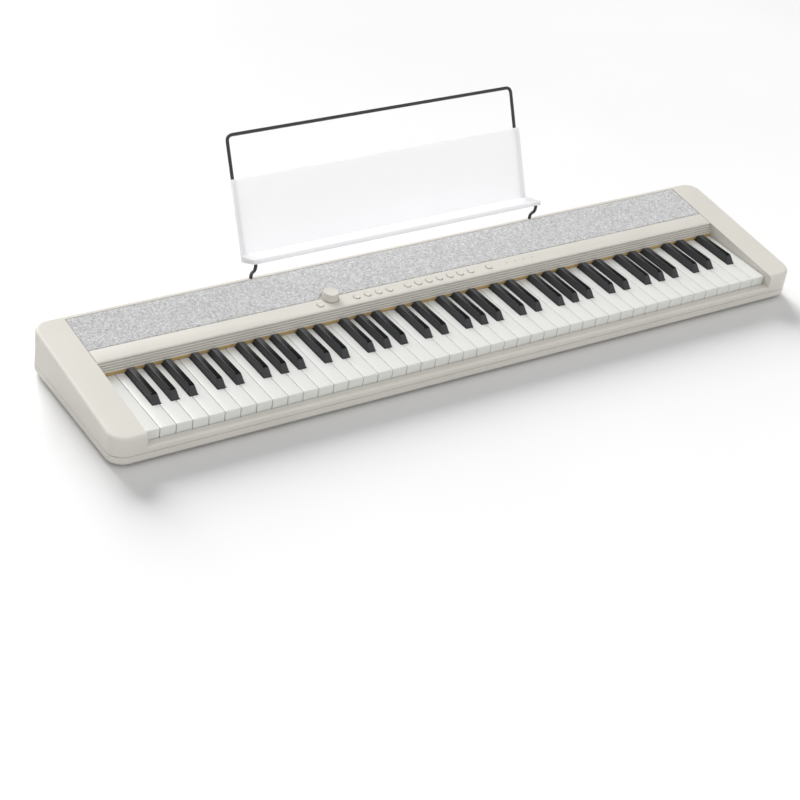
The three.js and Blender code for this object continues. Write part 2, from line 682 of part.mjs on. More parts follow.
/** The control panel, in the frame of the sloping top, with a round lobe behind the knob. */
function controlPanel() {
  const half = BED_HALF - GAP;
  const strip = block(-half, half, along(PANEL_FRONT), along(PANEL_REAR), -PANEL_THICK, 0);
  const lobe = post(KNOB_X, along(KNOB_Y), LOBE_RADIUS, -PANEL_THICK, 0, 28);
  const holes = buttonPlaces().map(({ x }) =>
    post(x, along(BUTTON_Y), BUTTON_RADIUS + BUTTON_CLEARANCE, -PANEL_THICK - OVERSHOOT, OVERSHOOT, 16),
  );
  const shaftHole = KNOB_SHAFT + KNOB_CLEARANCE;
  const knobHole = post(KNOB_X, along(KNOB_Y), shaftHole, -PANEL_THICK - OVERSHOOT, OVERSHOOT, 16);
  return geometryOf(cut(join(strip, lobe), knobHole, ...holes));
}

function knobNotch(low, high) {
  return post(KNOB_X, along(KNOB_Y), LOBE_RADIUS + 2 * GAP, low, high, 28);
}

/** The speaker cloth, in the frame of the sloping top. */
function speakerCloth() {
  const half = BED_HALF - GAP;
  const sheet = block(-half, half, along(CLOTH_FRONT), along(CLOTH_REAR), -CLOTH_THICK, 0);
  return geometryOf(sheet.subtract(knobNotch(-CLOTH_THICK - OVERSHOOT, OVERSHOOT)));
}

/** The board that the cloth is stretched over, open above each speaker. */
function speakerBaffle() {
  const half = BED_HALF - GAP;
  const top = -CLOTH_THICK - GAP;
  const low = top - BAFFLE_THICK;
  const plate = block(-half, half, along(CLOTH_FRONT), along(CLOTH_REAR), low, top);
  const under = low - OVERSHOOT;
  const over = top + OVERSHOOT;
  const windows = [-1, 1].map((side) => speakerOutline(side, WINDOW_INSET, under, over));
  return geometryOf(cut(plate, knobNotch(under, over), ...windows));
}

/** The long round-ended outline of a speaker, drawn in by an inset. */
function speakerOutline(side, inset, low, high) {
  const middle = along((CLOTH_FRONT + CLOTH_REAR) / 2);
  const halfWidth = SPEAKER_WIDTH / 2 - inset;
  const halfDepth = SPEAKER_DEPTH / 2 - inset;
  const x = side * SPEAKER_X;
  const outline = roundedRectangle(
    x - halfWidth, x + halfWidth, middle - halfDepth, middle + halfDepth, halfDepth - 1,
  );
  return risen(outline, low, high, 5);
}

/** One speaker: flange, basket and magnet, hung under the baffle. */
function speaker(side) {
  const top = -CLOTH_THICK - BAFFLE_THICK - 2 * GAP;
  const magnetY = along(CASE_REAR - WALL) - MAGNET_RADIUS - MAGNET_GAP;
  const magnetTop = top - BASKET_DEPTH + OVERSHOOT;
  const flange = speakerOutline(side, 0, top - FLANGE_THICK, top);
  const basket = speakerOutline(side, FLANGE_WIDTH, top - BASKET_DEPTH, top - FLANGE_THICK / 2);
  const dish = speakerOutline(side, DISH_INSET, top - DISH_DEPTH, top + OVERSHOOT);
  const magnet = post(side * SPEAKER_X, magnetY, MAGNET_RADIUS, top - SPEAKER_HEIGHT, magnetTop, 20);
  return geometryOf(join(flange, basket, magnet).subtract(dish));
}

/** The board under the control panel that carries the switches and the electronics. */
function mainBoard() {
  const front = along(PANEL_FRONT + MAIN_BOARD_INSET);
  const top = -PANEL_THICK - BUTTON_TRAVEL - SWITCH_HEIGHT;
  const plate = block(
    -MAIN_BOARD_WIDTH / 2, MAIN_BOARD_WIDTH / 2, front, front + MAIN_BOARD_DEPTH, top - BOARD_THICK, top,
  );
  const rotary = post(
    KNOB_X, along(KNOB_Y), KNOB_SHAFT + ROTARY_GAP, top - BOARD_THICK - OVERSHOOT, top + OVERSHOOT, 16,
  );
  return geometryOf(plate.subtract(rotary));
}

function button() {
  const r = BUTTON_RADIUS;
  const flangeTop = -PANEL_THICK - GAP;
  return turned(
    [
      [0, flangeTop - BUTTON_FOOT],
      [r + BUTTON_FLANGE, flangeTop - BUTTON_FOOT],
      [r + BUTTON_FLANGE, flangeTop],
      [r, flangeTop],
      [r, BUTTON_PROUD - BUTTON_CHAMFER],
      [r - BUTTON_CHAMFER, BUTTON_PROUD],
      [0, BUTTON_PROUD],
    ],
    16,
  );
}

function volumeKnob() {
  return turned(
    [
      [0, -PANEL_THICK - SHAFT_END],
      [KNOB_SHAFT, -PANEL_THICK - SHAFT_END],
      [KNOB_SHAFT, 2 * GAP],
      [KNOB_RADIUS, 2 * GAP],
      [KNOB_RADIUS, KNOB_HEIGHT * KNOB_BELT],
      [KNOB_TOP_RADIUS, KNOB_HEIGHT - KNOB_CHAMFER],
      [KNOB_TOP_RADIUS - KNOB_CHAMFER, KNOB_HEIGHT],
      [0, KNOB_HEIGHT],
    ],
    28,
  );
}

// ---------------------------------------------------------------- rear sockets

/** A square body behind the rear wall with round bores for plugs. */
function jackBlock(places, bore) {
  const rear = CASE_REAR - WALL - GAP;
  const half = JACK_SIZE / 2;
  const left = Math.min(...places) - half;
  const right = Math.max(...places) + half;
  const body = block(left, right, rear - JACK_SIZE, rear, SOCKET_Z - half, SOCKET_Z + half);
  const back = rear - JACK_SIZE + JACK_BACK;
  const bores = places.map((x) => rod(x, SOCKET_Z, bore, back, rear + OVERSHOOT));
  return geometryOf(cut(body, ...bores));
}

// ---------------------------------------------------------------- music rest

/** A point of the rest: x across, "up" along the sheet and "out" toward the player. */
function restPoint(x, up, out) {
  const s = Math.sin(REST_LEAN);
  const c = Math.cos(REST_LEAN);
  return new THREE.Vector3(x, REST_Y + up * s - out * c, REST_Z + up * c + out * s);
}

/** The sheet and its ledge, one moulding, less the channels for the wire. */
function restPanel() {
  const half = SHEET_WIDTH / 2;
  const lipTop = -LEDGE_REAR_THICK + LEDGE_FRONT_THICK + LIP_HEIGHT;
  const sheet = restBar(-half, half, [
    [-SHEET_THICK, -LEDGE_REAR_THICK],
    [LEDGE_DEPTH, -LEDGE_REAR_THICK],
    [LEDGE_DEPTH, -LEDGE_REAR_THICK + LEDGE_FRONT_THICK],
    [LEDGE_DEPTH - LIP_CHAMFER, lipTop],
    [LEDGE_DEPTH - LIP_WIDTH, lipTop],
    [LEDGE_DEPTH - LIP_WIDTH - LIP_FOOT, -LEDGE_REAR_THICK + LEDGE_FRONT_THICK + LIP_FOOT / 4],
    [0, 0],
    [0, SHEET_HEIGHT],
    [-SHEET_THICK, SHEET_HEIGHT],
  ]);
  return geometryOf(sheet.subtract(restChannel(-1)).subtract(restChannel(1)));
}

/** The channel in the ledge's underside for one leg of the wire, open behind and below. */
function restChannel(side) {
  const reach = WIRE_RADIUS + GAP;
  const x = (side * WIRE_SPAN) / 2;
  const ceiling = WIRE_UNDER + reach;
  const end = WIRE_KNEE_OUT + reach;
  const below = -LEDGE_REAR_THICK - OVERSHOOT;
  const behind = -SHEET_THICK - OVERSHOOT;
  return restBar(x - reach, x + reach, [
    [behind, below],
    [end, below],
    [end, ceiling],
    [HEEL - ceiling, ceiling],
    [behind, HEEL - behind],
  ]);
}

/** A bar along x whose outline is given as out and up in the rest's own frame, anticlockwise. */
function restBar(x0, x1, corners) {
  const outline = corners.map(([out, up]) => {
    const p = restPoint(0, up, out);
    return [p.y, p.z];
  });
  return sideways(polygon(outline.reverse()), x0, x1);
}

/** A bent wire as a curve whose samples fall on its own points. */
class BentWire extends THREE.Curve {
  constructor(points) {
    super();
    this.points = points;
  }

  getPoint(t, target = new THREE.Vector3()) {
    const last = this.points.length - 1;
    const place = Math.min(Math.max(t, 0), 1) * last;
    const low = Math.min(Math.floor(place), last - 1);
    return target.copy(this.points[low]).lerp(this.points[low + 1], place - low);
  }

  getPointAt(u, target) {
    return this.getPoint(u, target);
  }

  getTangentAt(u, target = new THREE.Vector3()) {
    const last = this.points.length - 1;
    const place = Math.round(u * last);
    const before = this.points[Math.max(place - 1, 0)];
    const after = this.points[Math.min(place + 1, last)];
    return target.copy(after).sub(before).normalize();
  }
}

/** The corners of a path, each but the first and last rounded by a bend within its half of each side. */
function roundedPath(corners, radius, steps = 4) {
  const points = [corners[0]];
  for (let n = 1; n < corners.length - 1; n += 1) {
    const corner = corners[n];
    const back = corners[n - 1].clone().sub(corner);
    const on = corners[n + 1].clone().sub(corner);
    const reach = Math.min(radius, back.length() * 0.45, on.length() * 0.45);
    const enter = corner.clone().addScaledVector(back.normalize(), reach);
    const leave = corner.clone().addScaledVector(on.normalize(), reach);
    points.push(...new THREE.QuadraticBezierCurve3(enter, corner, leave).getPoints(steps));
  }
  points.push(corners[corners.length - 1]);
  return points;
}

/** The wire: from one foot, under the ledge, up behind the sheet, across, and down the same way. */
function restWire() {
  const half = WIRE_SPAN / 2;
  const leg = (side) => {
    const x = side * half;
    return [
      new THREE.Vector3(x, WIRE_FOOT_Y, topZ(WIRE_FOOT_Y) - WIRE_INSERT),
      new THREE.Vector3(x, WIRE_FOOT_Y, topZ(CASE_REAR) + WIRE_FOOT_STRAIGHT),
      new THREE.Vector3(x, WIRE_KNEE_Y, topZ(CASE_REAR) + WIRE_KNEE_ABOVE),
      restPoint(x, WIRE_UNDER, WIRE_KNEE_OUT),
      restPoint(x, WIRE_UNDER, WIRE_OUT),
      restPoint(x, WIRE_HEIGHT, WIRE_OUT),
    ];
  };
  const points = roundedPath([...leg(-1), ...leg(1).reverse()], WIRE_BEND);
  const section = new THREE.Shape();
  section.absarc(0, 0, WIRE_RADIUS, 0, 2 * Math.PI);
  return new THREE.ExtrudeGeometry(section, {
    steps: points.length - 1,
    bevelEnabled: false,
    curveSegments: 5,
    extrudePath: new BentWire(points),
  });
}

// ---------------------------------------------------------------- assembly

const piano = new THREE.Group();
const slopingTop = new THREE.Group();
slopingTop.position.set(0, 0, TOP_RISE);
slopingTop.rotation.x = TILT;
piano.add(slopingTop);

function place(name, geometry, material, parent = piano) {
  const mesh = new THREE.Mesh(geometry, material);
  mesh.name = name;
  parent.add(mesh);
  return mesh;
}

const WHITE_NAMES = ["c", "d", "e", "f", "g", "a", "b"];

/** The keys of one octave: separate keys in the split octave, two combs in the others. */
function placeOctave(zone) {
  const whites = [...Array(WHITE_COUNT).keys()].filter((i) => zoneOf(i) === zone);
  const blacks = whites.filter(hasBlack);
  const octave = zone + 1;
  if (zone !== SPLIT_ZONE) {
    place(`white_keys_octave_${octave}`, whiteComb(whites), FINISH.whiteKey);
    place(`black_keys_octave_${octave}`, blackComb(blacks), FINISH.blackKey);
    return;
  }
  for (const i of whites) {
    place(`key_${WHITE_NAMES[letterOf(i)]}${octave}`, geometryOf(whiteKey(i)), FINISH.whiteKey);
  }
  for (const i of blacks) {
    place(`key_${WHITE_NAMES[letterOf(i)]}_sharp${octave}`, geometryOf(blackKey(i)), FINISH.blackKey);
  }
}

place("upper_case", upperCase(), FINISH.case);
place("lower_case", lowerCase(), FINISH.case);
place("battery_cover", batteryCover(), FINISH.case);
place("key_chassis", keyChassis(), FINISH.inner);
place("contact_board", contactBoard(), FINISH.board);
for (let zone = 0; zone <= zoneOf(WHITE_COUNT - 1); zone += 1) placeOctave(zone);

place("felt_strip", feltStrip(), FINISH.felt);
place("louvre_strip", louvreStrip(), FINISH.ribs);
place("control_panel", controlPanel(), FINISH.case, slopingTop);
place("speaker_cloth", speakerCloth(), FINISH.cloth, slopingTop);
place("speaker_baffle", speakerBaffle(), FINISH.inner, slopingTop);
place("left_speaker", speaker(-1), FINISH.speaker, slopingTop);
place("right_speaker", speaker(1), FINISH.speaker, slopingTop);
place("main_board", mainBoard(), FINISH.board, slopingTop);
for (const { name, x } of buttonPlaces()) {
  place(name, button(), FINISH.case, slopingTop).position.set(x, along(BUTTON_Y), 0);
}
place("volume_knob", volumeKnob(), FINISH.case, slopingTop).position.set(KNOB_X, along(KNOB_Y), 0);

place("jack_block", jackBlock([SOCKET_X - SOCKET_PITCH, SOCKET_X], JACK_BORE), FINISH.rubber);
place("power_inlet", jackBlock([SOCKET_X + SOCKET_PITCH], INLET_BORE), FINISH.rubber);

for (const [side, sideName] of [[-1, "left"], [1, "right"]]) {
  const x = side * (CASE_HALF - FOOT_SIDE_INSET);
  const z = CASE_BOTTOM - FOOT_HEIGHT;
  place(`foot_front_${sideName}`, foot(), FINISH.rubber).position.set(x, CASE_FRONT + FOOT_FRONT_INSET, z);
  place(`foot_rear_${sideName}`, foot(), FINISH.rubber).position.set(x, CASE_REAR - FOOT_REAR_INSET, z);
}

place("music_rest_panel", restPanel(), FINISH.sheet);
place("music_rest_wire", restWire(), FINISH.wire);

// the origin: under the middle of the whole object, on the surface that it stands on
const extent = new THREE.Box3().setFromObject(piano);
piano.position.set(
  -(extent.min.x + extent.max.x) / 2,
  -(extent.min.y + extent.max.y) / 2,
  -extent.min.z,
);

export default piano;
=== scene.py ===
"""The looks of a slim 76-key digital piano with a lift-off music rest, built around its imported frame.

Lengths in the property groups are metres. Every shape is worked out from the boxes of the frame's
nodes and from those properties, as arrays: a shape is a function of two parameters on a grid, or a
section carried along a path.
"""

import json
import math

import bmesh
import bpy
import numpy as np
from bpy.props import FloatProperty, FloatVectorProperty, IntProperty, PointerProperty
from mathutils import Matrix, Vector

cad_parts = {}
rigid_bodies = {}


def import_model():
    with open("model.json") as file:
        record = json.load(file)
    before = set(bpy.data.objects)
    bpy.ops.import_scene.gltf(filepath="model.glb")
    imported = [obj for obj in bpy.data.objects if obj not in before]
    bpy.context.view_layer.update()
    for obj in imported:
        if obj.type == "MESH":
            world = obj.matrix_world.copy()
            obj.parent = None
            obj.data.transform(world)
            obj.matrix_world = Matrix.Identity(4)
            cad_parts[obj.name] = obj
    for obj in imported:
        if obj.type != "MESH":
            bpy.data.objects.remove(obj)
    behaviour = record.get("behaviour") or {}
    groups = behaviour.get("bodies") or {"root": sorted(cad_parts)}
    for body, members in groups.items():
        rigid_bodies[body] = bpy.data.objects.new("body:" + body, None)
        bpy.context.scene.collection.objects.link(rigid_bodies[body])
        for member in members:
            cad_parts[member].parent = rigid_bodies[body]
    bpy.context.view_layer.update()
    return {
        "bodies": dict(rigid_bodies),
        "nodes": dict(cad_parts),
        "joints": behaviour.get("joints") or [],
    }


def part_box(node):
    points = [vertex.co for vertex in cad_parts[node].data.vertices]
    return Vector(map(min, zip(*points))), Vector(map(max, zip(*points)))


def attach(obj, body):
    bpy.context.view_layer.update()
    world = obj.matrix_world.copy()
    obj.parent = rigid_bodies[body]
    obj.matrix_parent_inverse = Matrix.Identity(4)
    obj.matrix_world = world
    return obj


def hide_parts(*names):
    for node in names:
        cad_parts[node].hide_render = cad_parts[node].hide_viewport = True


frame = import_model()

bl_info = {
    "name": "Slim digital piano",
    "version": (1, 0, 0),
    "blender": (4, 5, 0),
    "location": "View3D > Sidebar > Piano",
    "description": "Builds the case, keyboard, controls and music rest of a slim digital piano",
    "category": "Object",
}

MM = 0.001

CORNER_RADIUS = 24 * MM
BED_CLEARANCE = 0.3 * MM
OPENING_CLEARANCE = 0.6 * MM
CAP_CLEARANCE = 1.4 * MM
SAME_POINT = 0.002 * MM
SHARP_ANGLE = 35.0


# ------------------------------------------------------------------ places read from the frame


def span(node):
    """The lowest and highest corners of a node as two arrays."""
    low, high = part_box(node)
    return np.array(low), np.array(high)


def joint_of(body):
    """The joint that moves a body."""
    return next(j for j in frame["joints"] if j["child"] == body)


class Places:
    """Places that several pieces share, worked out from the frame."""

    def __init__(self):
        press = joint_of("power_button")["axis"]
        self.slope = press[1] / -press[2]
        self.tilt = math.atan(self.slope)
        self.case_low, self.case_high = span("upper_case")
        self.tray_low, self.tray_high = span("lower_case")
        cloth_low, cloth_high = span("speaker_cloth")
        self.cloth_front = cloth_low[1]
        self.cloth_rear = cloth_high[1]
        self.strip_half = cloth_high[0]
        self.level = cloth_high[2] - self.slope * cloth_high[1]
        self.bed_half = self.strip_half + BED_CLEARANCE
        c4_low, c4_high = span("key_c4")
        d4_low, _ = span("key_d4")
        self.key_top = c4_high[2]
        self.key_front = c4_low[1]
        self.key_rear = c4_high[1]
        self.key_low = c4_low[2]
        self.pitch = d4_low[0] - c4_low[0]
        self.key_gap = self.pitch - (c4_high[0] - c4_low[0])
        self.opening_rear = self.cloth_rear + OPENING_CLEARANCE
        self.cap_rear = span("felt_strip")[0][1] - CAP_CLEARANCE

    def top(self, y):
        """Height of the sloping top at y."""
        return self.level + self.slope * y


P = Places()


# ------------------------------------------------------------------ properties


def length(name, description, default):
    """A length property in metres."""
    return FloatProperty(
        name=name, description=description, default=default, min=0.0, unit="LENGTH", subtype="DISTANCE",
        precision=5,
    )


def turn_of(name, description, degrees):
    """An angle property with its default in degrees."""
    return FloatProperty(
        name=name, description=description, default=math.radians(degrees), subtype="ANGLE",
    )


def level_of(name, description, default):
    """A plain property that is never negative."""
    return FloatProperty(name=name, description=description, default=default, min=0.0)


def colour(name, description, default):
    """A colour property without transparency."""
    return FloatVectorProperty(
        name=name, description=description, default=(*default, 1.0), size=4, min=0.0, max=1.0,
        subtype="COLOR",
    )


class PianoCase(bpy.types.PropertyGroup):
    """Sizes of the case shell, the tray and the trim."""

    edge: length("Edge radius", "Radius of the case's outer top edge", 5.0 * MM)
    slip_edge: length("Slip edge", "Radius of the key slip's front edge", 3.0 * MM)
    slip_drop: length("Slip drop", "From the key tops down to the key slip's top", 13.7 * MM)
    slip_gap: length("Slip gap", "Between the key slip and the white keys' fronts", 1.2 * MM)
    soft_edge: length("Soft edge", "Width of the small bevel on inner edges", 0.5 * MM)
    seam: length("Seam", "Open line between the case shell and the tray", 0.8 * MM)
    trim_gap: length("Trim gap", "Cut back from the edges of the panel and the cloth", 0.5 * MM)
    chamfer: length("Chamfer", "Height of the tray's rounded bottom edge", 4.5 * MM)
    wall: length("Wall", "Thickness of the tray", 2.5 * MM)


class PianoKeys(bpy.types.PropertyGroup):
    """Sizes of the white and black keys."""

    lip: length("Front lip radius", "Radius of the white keys' front top edge", 1.1 * MM)
    slab: length("Slab", "Thickness of a white key behind its front", 10.0 * MM)
    apron: length("Apron", "Thickness of a white key's front", 3.0 * MM)
    cap_edge: length("Cap edge", "Radius along the black keys' top edges", 1.1 * MM)
    cap_top: length("Cap top", "Width of a black key at its top", 8.4 * MM)
    cap_bevel: length("Cap slope", "Run of the sloped front of a black key", 8.0 * MM)
    cap_end: length("Cap end", "Run of the rounded rear end of a black key", 7.0 * MM)
    cap_turn: length("Cap turn", "Half the run of the arc between slope and top", 3.2 * MM)
    soft_edge: length("Soft edge", "Width of the small bevel on key edges", 0.5 * MM)


class PianoControls(bpy.types.PropertyGroup):
    """Sizes of the buttons, the knob, the lenses and the ribbed strip."""

    button_radius: length("Button radius", "Radius of a push button", 4.8 * MM)
    button_proud: length("Button height", "Height of a push button over the panel", 1.2 * MM)
    button_dish: length("Button dish", "Depth of the hollow in a button's top", 0.35 * MM)
    knob_skirt: length("Knob skirt", "Radius of the volume knob at its foot", 11.7 * MM)
    knob_top: length("Knob top", "Radius of the volume knob at its top", 10.6 * MM)
    knob_tall: length("Knob height", "Height of the volume knob over the panel", 11.7 * MM)
    knob_seat: length("Knob seat", "Radius of the bite that the knob's seat takes from the cloth", 14.6 * MM)
    knob_dish: length("Knob dish", "Depth of the hollow in the knob's top", 0.5 * MM)
    lens: length("Lens radius", "Radius of an indicator lens", 0.75 * MM)
    lens_start: length("Lens start", "From the last button to the first indicator lens", 33 * MM)
    lens_pitch: length("Lens pitch", "From one indicator lens to the next", 15.6 * MM)
    ribs: IntProperty(name="Ribs", description="Ribs of the strip behind the keys", default=5, min=2, max=9)


class PianoRest(bpy.types.PropertyGroup):
    """Sizes of the music rest's wire and sheet edges."""

    wire: length("Wire radius", "Radius of the music rest's wire", 2.5 * MM)
    foot_inset: length("Foot inset", "From the case's rear face to the middle of the wire's foot", 4.4 * MM)
    soft_edge: length("Soft edge", "Width of the bevel on the sheet's edges", 0.5 * MM)


class PianoColours(bpy.types.PropertyGroup):
    """Colours of the finishes that show."""

    case: colour("Case", "Colour of the case", (0.65, 0.627, 0.575))
    white_key: colour("White keys", "Colour of the white keys", (0.725, 0.73, 0.705))
    black_key: colour("Black keys", "Colour of the black keys' sides", (0.030, 0.031, 0.034))
    cloth: colour("Cloth", "Middle colour of the speaker cloth", (0.55, 0.55, 0.552))
    felt: colour("Felt", "Colour of the felt strip", (0.50, 0.33, 0.10))
    sheet: colour("Rest sheet", "Colour of the music rest's sheet", (0.77, 0.77, 0.79))
    wire: colour("Wire", "Colour of the music rest's wire", (0.012, 0.012, 0.014))


class PianoStage(bpy.types.PropertyGroup):
    """The camera's place and the strength of the lights."""

    azimuth: turn_of("Azimuth", "Turn of the camera about the upright axis", 37.73)
    elevation: turn_of("Elevation", "Height of the camera's view over the floor", 34.08)
    roll: turn_of("Roll", "Turn of the camera about its own view", 8.75)
    distance: length("Distance", "From the camera to the floor point that it looks at", 2.643)
    aim: FloatVectorProperty(
        name="Aim", description="The floor point that the camera looks at", default=(-0.1484, -0.1819, 0.0),
        size=3, subtype="TRANSLATION",
    )
    lens: FloatProperty(name="Lens", description="Focal length on a 36 mm sensor, in mm", default=87.3)
    room_front: level_of("Room in front", "Strength of the room's light in front of the piano", 0.62)
    room_behind: level_of("Room behind", "Strength of the room's light behind the piano", 0.36)
    floor_light: level_of("Floor light", "Strength of the low light on the floor", 5.7)
    key_light: level_of("Key light", "Strength of the light from behind on the piano", 2.6)
    fill_light: level_of("Fill light", "Strength of the wide light from the front on the piano", 1.05)


# ------------------------------------------------------------------ meshes


def put(name, points, faces, sharp=SHARP_ANGLE):
    """A new object from an array of points and lists of faces, smooth but for edges over an angle."""
    mesh = bpy.data.meshes.new(name)
    mesh.from_pydata(np.asarray(points, float).reshape(-1, 3).tolist(), [], faces)
    tidy = bmesh.new()
    tidy.from_mesh(mesh)
    bmesh.ops.remove_doubles(tidy, verts=tidy.verts, dist=SAME_POINT)
    bmesh.ops.dissolve_degenerate(tidy, edges=tidy.edges, dist=SAME_POINT / 2)
    bmesh.ops.recalc_face_normals(tidy, faces=tidy.faces)
    tidy.to_mesh(mesh)
    tidy.free()
    mesh.validate()
    mesh.shade_smooth()
    mesh.set_sharp_from_angle(angle=math.radians(sharp))
    made = bpy.data.objects.new(name, mesh)
    bpy.context.scene.collection.objects.link(made)
    return made


def grid_faces(rows, columns, round_rows=False, round_columns=False, start=0):
    """Quads between neighbours on a grid of rows by columns, closed on itself where asked."""
    r = np.arange(rows if round_rows else rows - 1)
    c = np.arange(columns if round_columns else columns - 1)
    r, c = (a.ravel() for a in np.meshgrid(r, c, indexing="ij"))
    r2, c2 = (r + 1) % rows, (c + 1) % columns
    quads = np.stack([r * columns + c, r * columns + c2, r2 * columns + c2, r2 * columns + c], axis=1)
    return (quads + start).tolist()


def lofted(name, sections, sharp=SHARP_ANGLE):
    """Sections (S, N, 3), each a closed ring, joined in order and capped at both ends."""
    count, around = sections.shape[:2]
    faces = grid_faces(count, around, round_columns=True)
    faces.append(list(range(around))[::-1])
    faces.append(list(range((count - 1) * around, count * around)))
    return put(name, sections, faces, sharp)


def bar(name, outline, x0, x1, sharp=SHARP_ANGLE):
    """An outline (N, 2) in y and z, carried straight along x."""
    ring = np.column_stack([np.zeros(len(outline)), outline])
    ends = np.stack([ring + [x0, 0, 0], ring + [x1, 0, 0]])
    return lofted(name, ends, sharp)


def turned(name, profile, centre, axis, segments=48, sharp=SHARP_ANGLE):
    """A profile (N, 2) of radius and height, turned about an axis through a centre: point = centre +
    radius (cos a u + sin a v) + height axis. It starts and ends on the axis, where it is closed."""
    axis = np.array(axis, float) / np.linalg.norm(axis)
    u = np.cross([1.0, 0.0, 0.0], axis)
    u /= np.linalg.norm(u)
    v = np.cross(axis, u)
    angle = np.linspace(0, 2 * np.pi, segments, endpoint=False)
    profile = np.asarray(profile, float)
    spoke = np.cos(angle)[:, None] * u + np.sin(angle)[:, None] * v
    points = np.asarray(centre) + profile[:, :1, None] * spoke[None] + profile[:, 1:, None] * axis
    return put(name, points, grid_faces(len(profile), segments, round_columns=True), sharp)


def arc(centre, radius, start, end, steps):
    """Points of an arc between two angles in degrees."""
    a = np.radians(np.linspace(start, end, steps))
    return np.column_stack([centre[0] + radius * np.cos(a), centre[1] + radius * np.sin(a)])


def soften(piece, width, segments=2, angle=40.0):
    """A small rounding on the piece's sharp edges."""
    bevel = piece.modifiers.new("Soft edges", "BEVEL")
    bevel.width = width
    bevel.segments = segments
    bevel.limit_method = "ANGLE"
    bevel.angle_limit = math.radians(angle)
    bevel.use_clamp_overlap = True
    bevel.harden_normals = False
    return piece


def dress(piece, body, slot, material, *nodes):
    """Rides the piece on its body, gives it its finish, and has it stand for its nodes."""
    piece.data.materials.clear()
    piece.data.materials.append(material)
    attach(piece, body)
    if nodes:
        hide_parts(*nodes)
    return piece


# ------------------------------------------------------------------ finishes


class Finish:
    """A node material with one Principled shader, and short ways to add colour, roughness and relief."""

    def __init__(self, name, roughness=0.5, metallic=0.0):
        self.material = bpy.data.materials.new(name)
        self.material.use_nodes = True
        self.nodes = self.material.node_tree.nodes
        self.links = self.material.node_tree.links
        self.shader = self.nodes["Principled BSDF"]
        self.shader.inputs["Roughness"].default_value = roughness
        self.shader.inputs["Metallic"].default_value = metallic
        self.place = self.nodes.new("ShaderNodeTexCoord").outputs["Object"]
        self.relief = None

    def set(self, **values):
        """Sets the shader's own sockets, an underscore in a name standing for a space."""
        for name, value in values.items():
            self.shader.inputs[name.replace("_", " ")].default_value = value
        return self

    def noise(self, scale, detail=2.0, roughness=0.5, stretch=(1, 1, 1)):
        """Noise on the piece's own coordinates, finer along an axis that is stretched more."""
        turn = self.nodes.new("ShaderNodeMapping")
        turn.inputs["Scale"].default_value = stretch
        made = self.nodes.new("ShaderNodeTexNoise")
        made.inputs["Scale"].default_value = scale
        made.inputs["Detail"].default_value = detail
        made.inputs["Roughness"].default_value = roughness
        self.links.new(self.place, turn.inputs["Vector"])
        self.links.new(turn.outputs["Vector"], made.inputs["Vector"])
        return made.outputs["Fac"]

    def cells(self, scale, stretch=(1, 1, 1), output="Distance"):
        """Cells about scattered points: the distance to the nearest one, or a colour per cell."""
        turn = self.nodes.new("ShaderNodeMapping")
        turn.inputs["Scale"].default_value = stretch
        made = self.nodes.new("ShaderNodeTexVoronoi")
        made.inputs["Scale"].default_value = scale
        self.links.new(self.place, turn.inputs["Vector"])
        self.links.new(turn.outputs["Vector"], made.inputs["Vector"])
        return made.outputs[output]

    def attribute(self, name):
        """A value that is stored on the mesh."""
        made = self.nodes.new("ShaderNodeAttribute")
        made.attribute_name = name
        return made.outputs["Fac"]

    def ramp(self, value, low, high, start=0.3, end=0.7):
        """Colours from low to high as value goes from start to end."""
        made = self.nodes.new("ShaderNodeValToRGB")
        made.color_ramp.elements[0].position = start
        made.color_ramp.elements[1].position = end
        made.color_ramp.elements[0].color = (*low[:3], 1.0)
        made.color_ramp.elements[1].color = (*high[:3], 1.0)
        self.links.new(value, made.inputs["Fac"])
        return made.outputs["Color"]

    def span(self, value, low, high, start=0.0, end=1.0):
        """Numbers from low to high as value goes from start to end."""
        made = self.nodes.new("ShaderNodeMapRange")
        made.inputs["From Min"].default_value = start
        made.inputs["From Max"].default_value = end
        made.inputs["To Min"].default_value = low
        made.inputs["To Max"].default_value = high
        self.links.new(value, made.inputs["Value"])
        return made.outputs["Result"]

    def math(self, operation, first, second):
        """Two numbers or outputs put together."""
        made = self.nodes.new("ShaderNodeMath")
        made.operation = operation
        for socket, value in zip(made.inputs, (first, second)):
            if isinstance(value, (int, float)):
                socket.default_value = value
            else:
                self.links.new(value, socket)
        return made.outputs["Value"]

    def mix(self, share, first, second):
        """Colours mixed by a share."""
        made = self.nodes.new("ShaderNodeMix")
        made.data_type = "RGBA"
        for name, value in (("Factor", share), ("A", first), ("B", second)):
            kind = "VALUE" if name == "Factor" else "RGBA"
            socket = next(s for s in made.inputs if s.name == name and s.type == kind)
            self.links.new(value, socket)
        return next(s for s in made.outputs if s.type == "RGBA")

    def paint(self, colour_output):
        """Gives the shader its colour."""
        self.links.new(colour_output, self.shader.inputs["Base Color"])
        return self

    def gloss(self, value):
        """Gives the shader its roughness."""
        self.links.new(value, self.shader.inputs["Roughness"])
        return self

    def raise_by(self, height, distance, strength=1.0):
        """Adds relief of the given height in metres to what is there already."""
        made = self.nodes.new("ShaderNodeBump")
        made.inputs["Distance"].default_value = distance
        made.inputs["Strength"].default_value = strength
        self.links.new(height, made.inputs["Height"])
        if self.relief is not None:
            self.links.new(self.relief, made.inputs["Normal"])
        self.relief = made.outputs["Normal"]
        self.links.new(self.relief, self.shader.inputs["Normal"])
        return self


def scaled(base, share):
    """A colour made darker or lighter by a share."""
    return np.clip(np.array(base[:3]) * share, 0, 1)


def shades(base, spread):
    """A darker and a lighter neighbour of a colour."""
    return scaled(base, 1 - spread), scaled(base, 1 + spread)


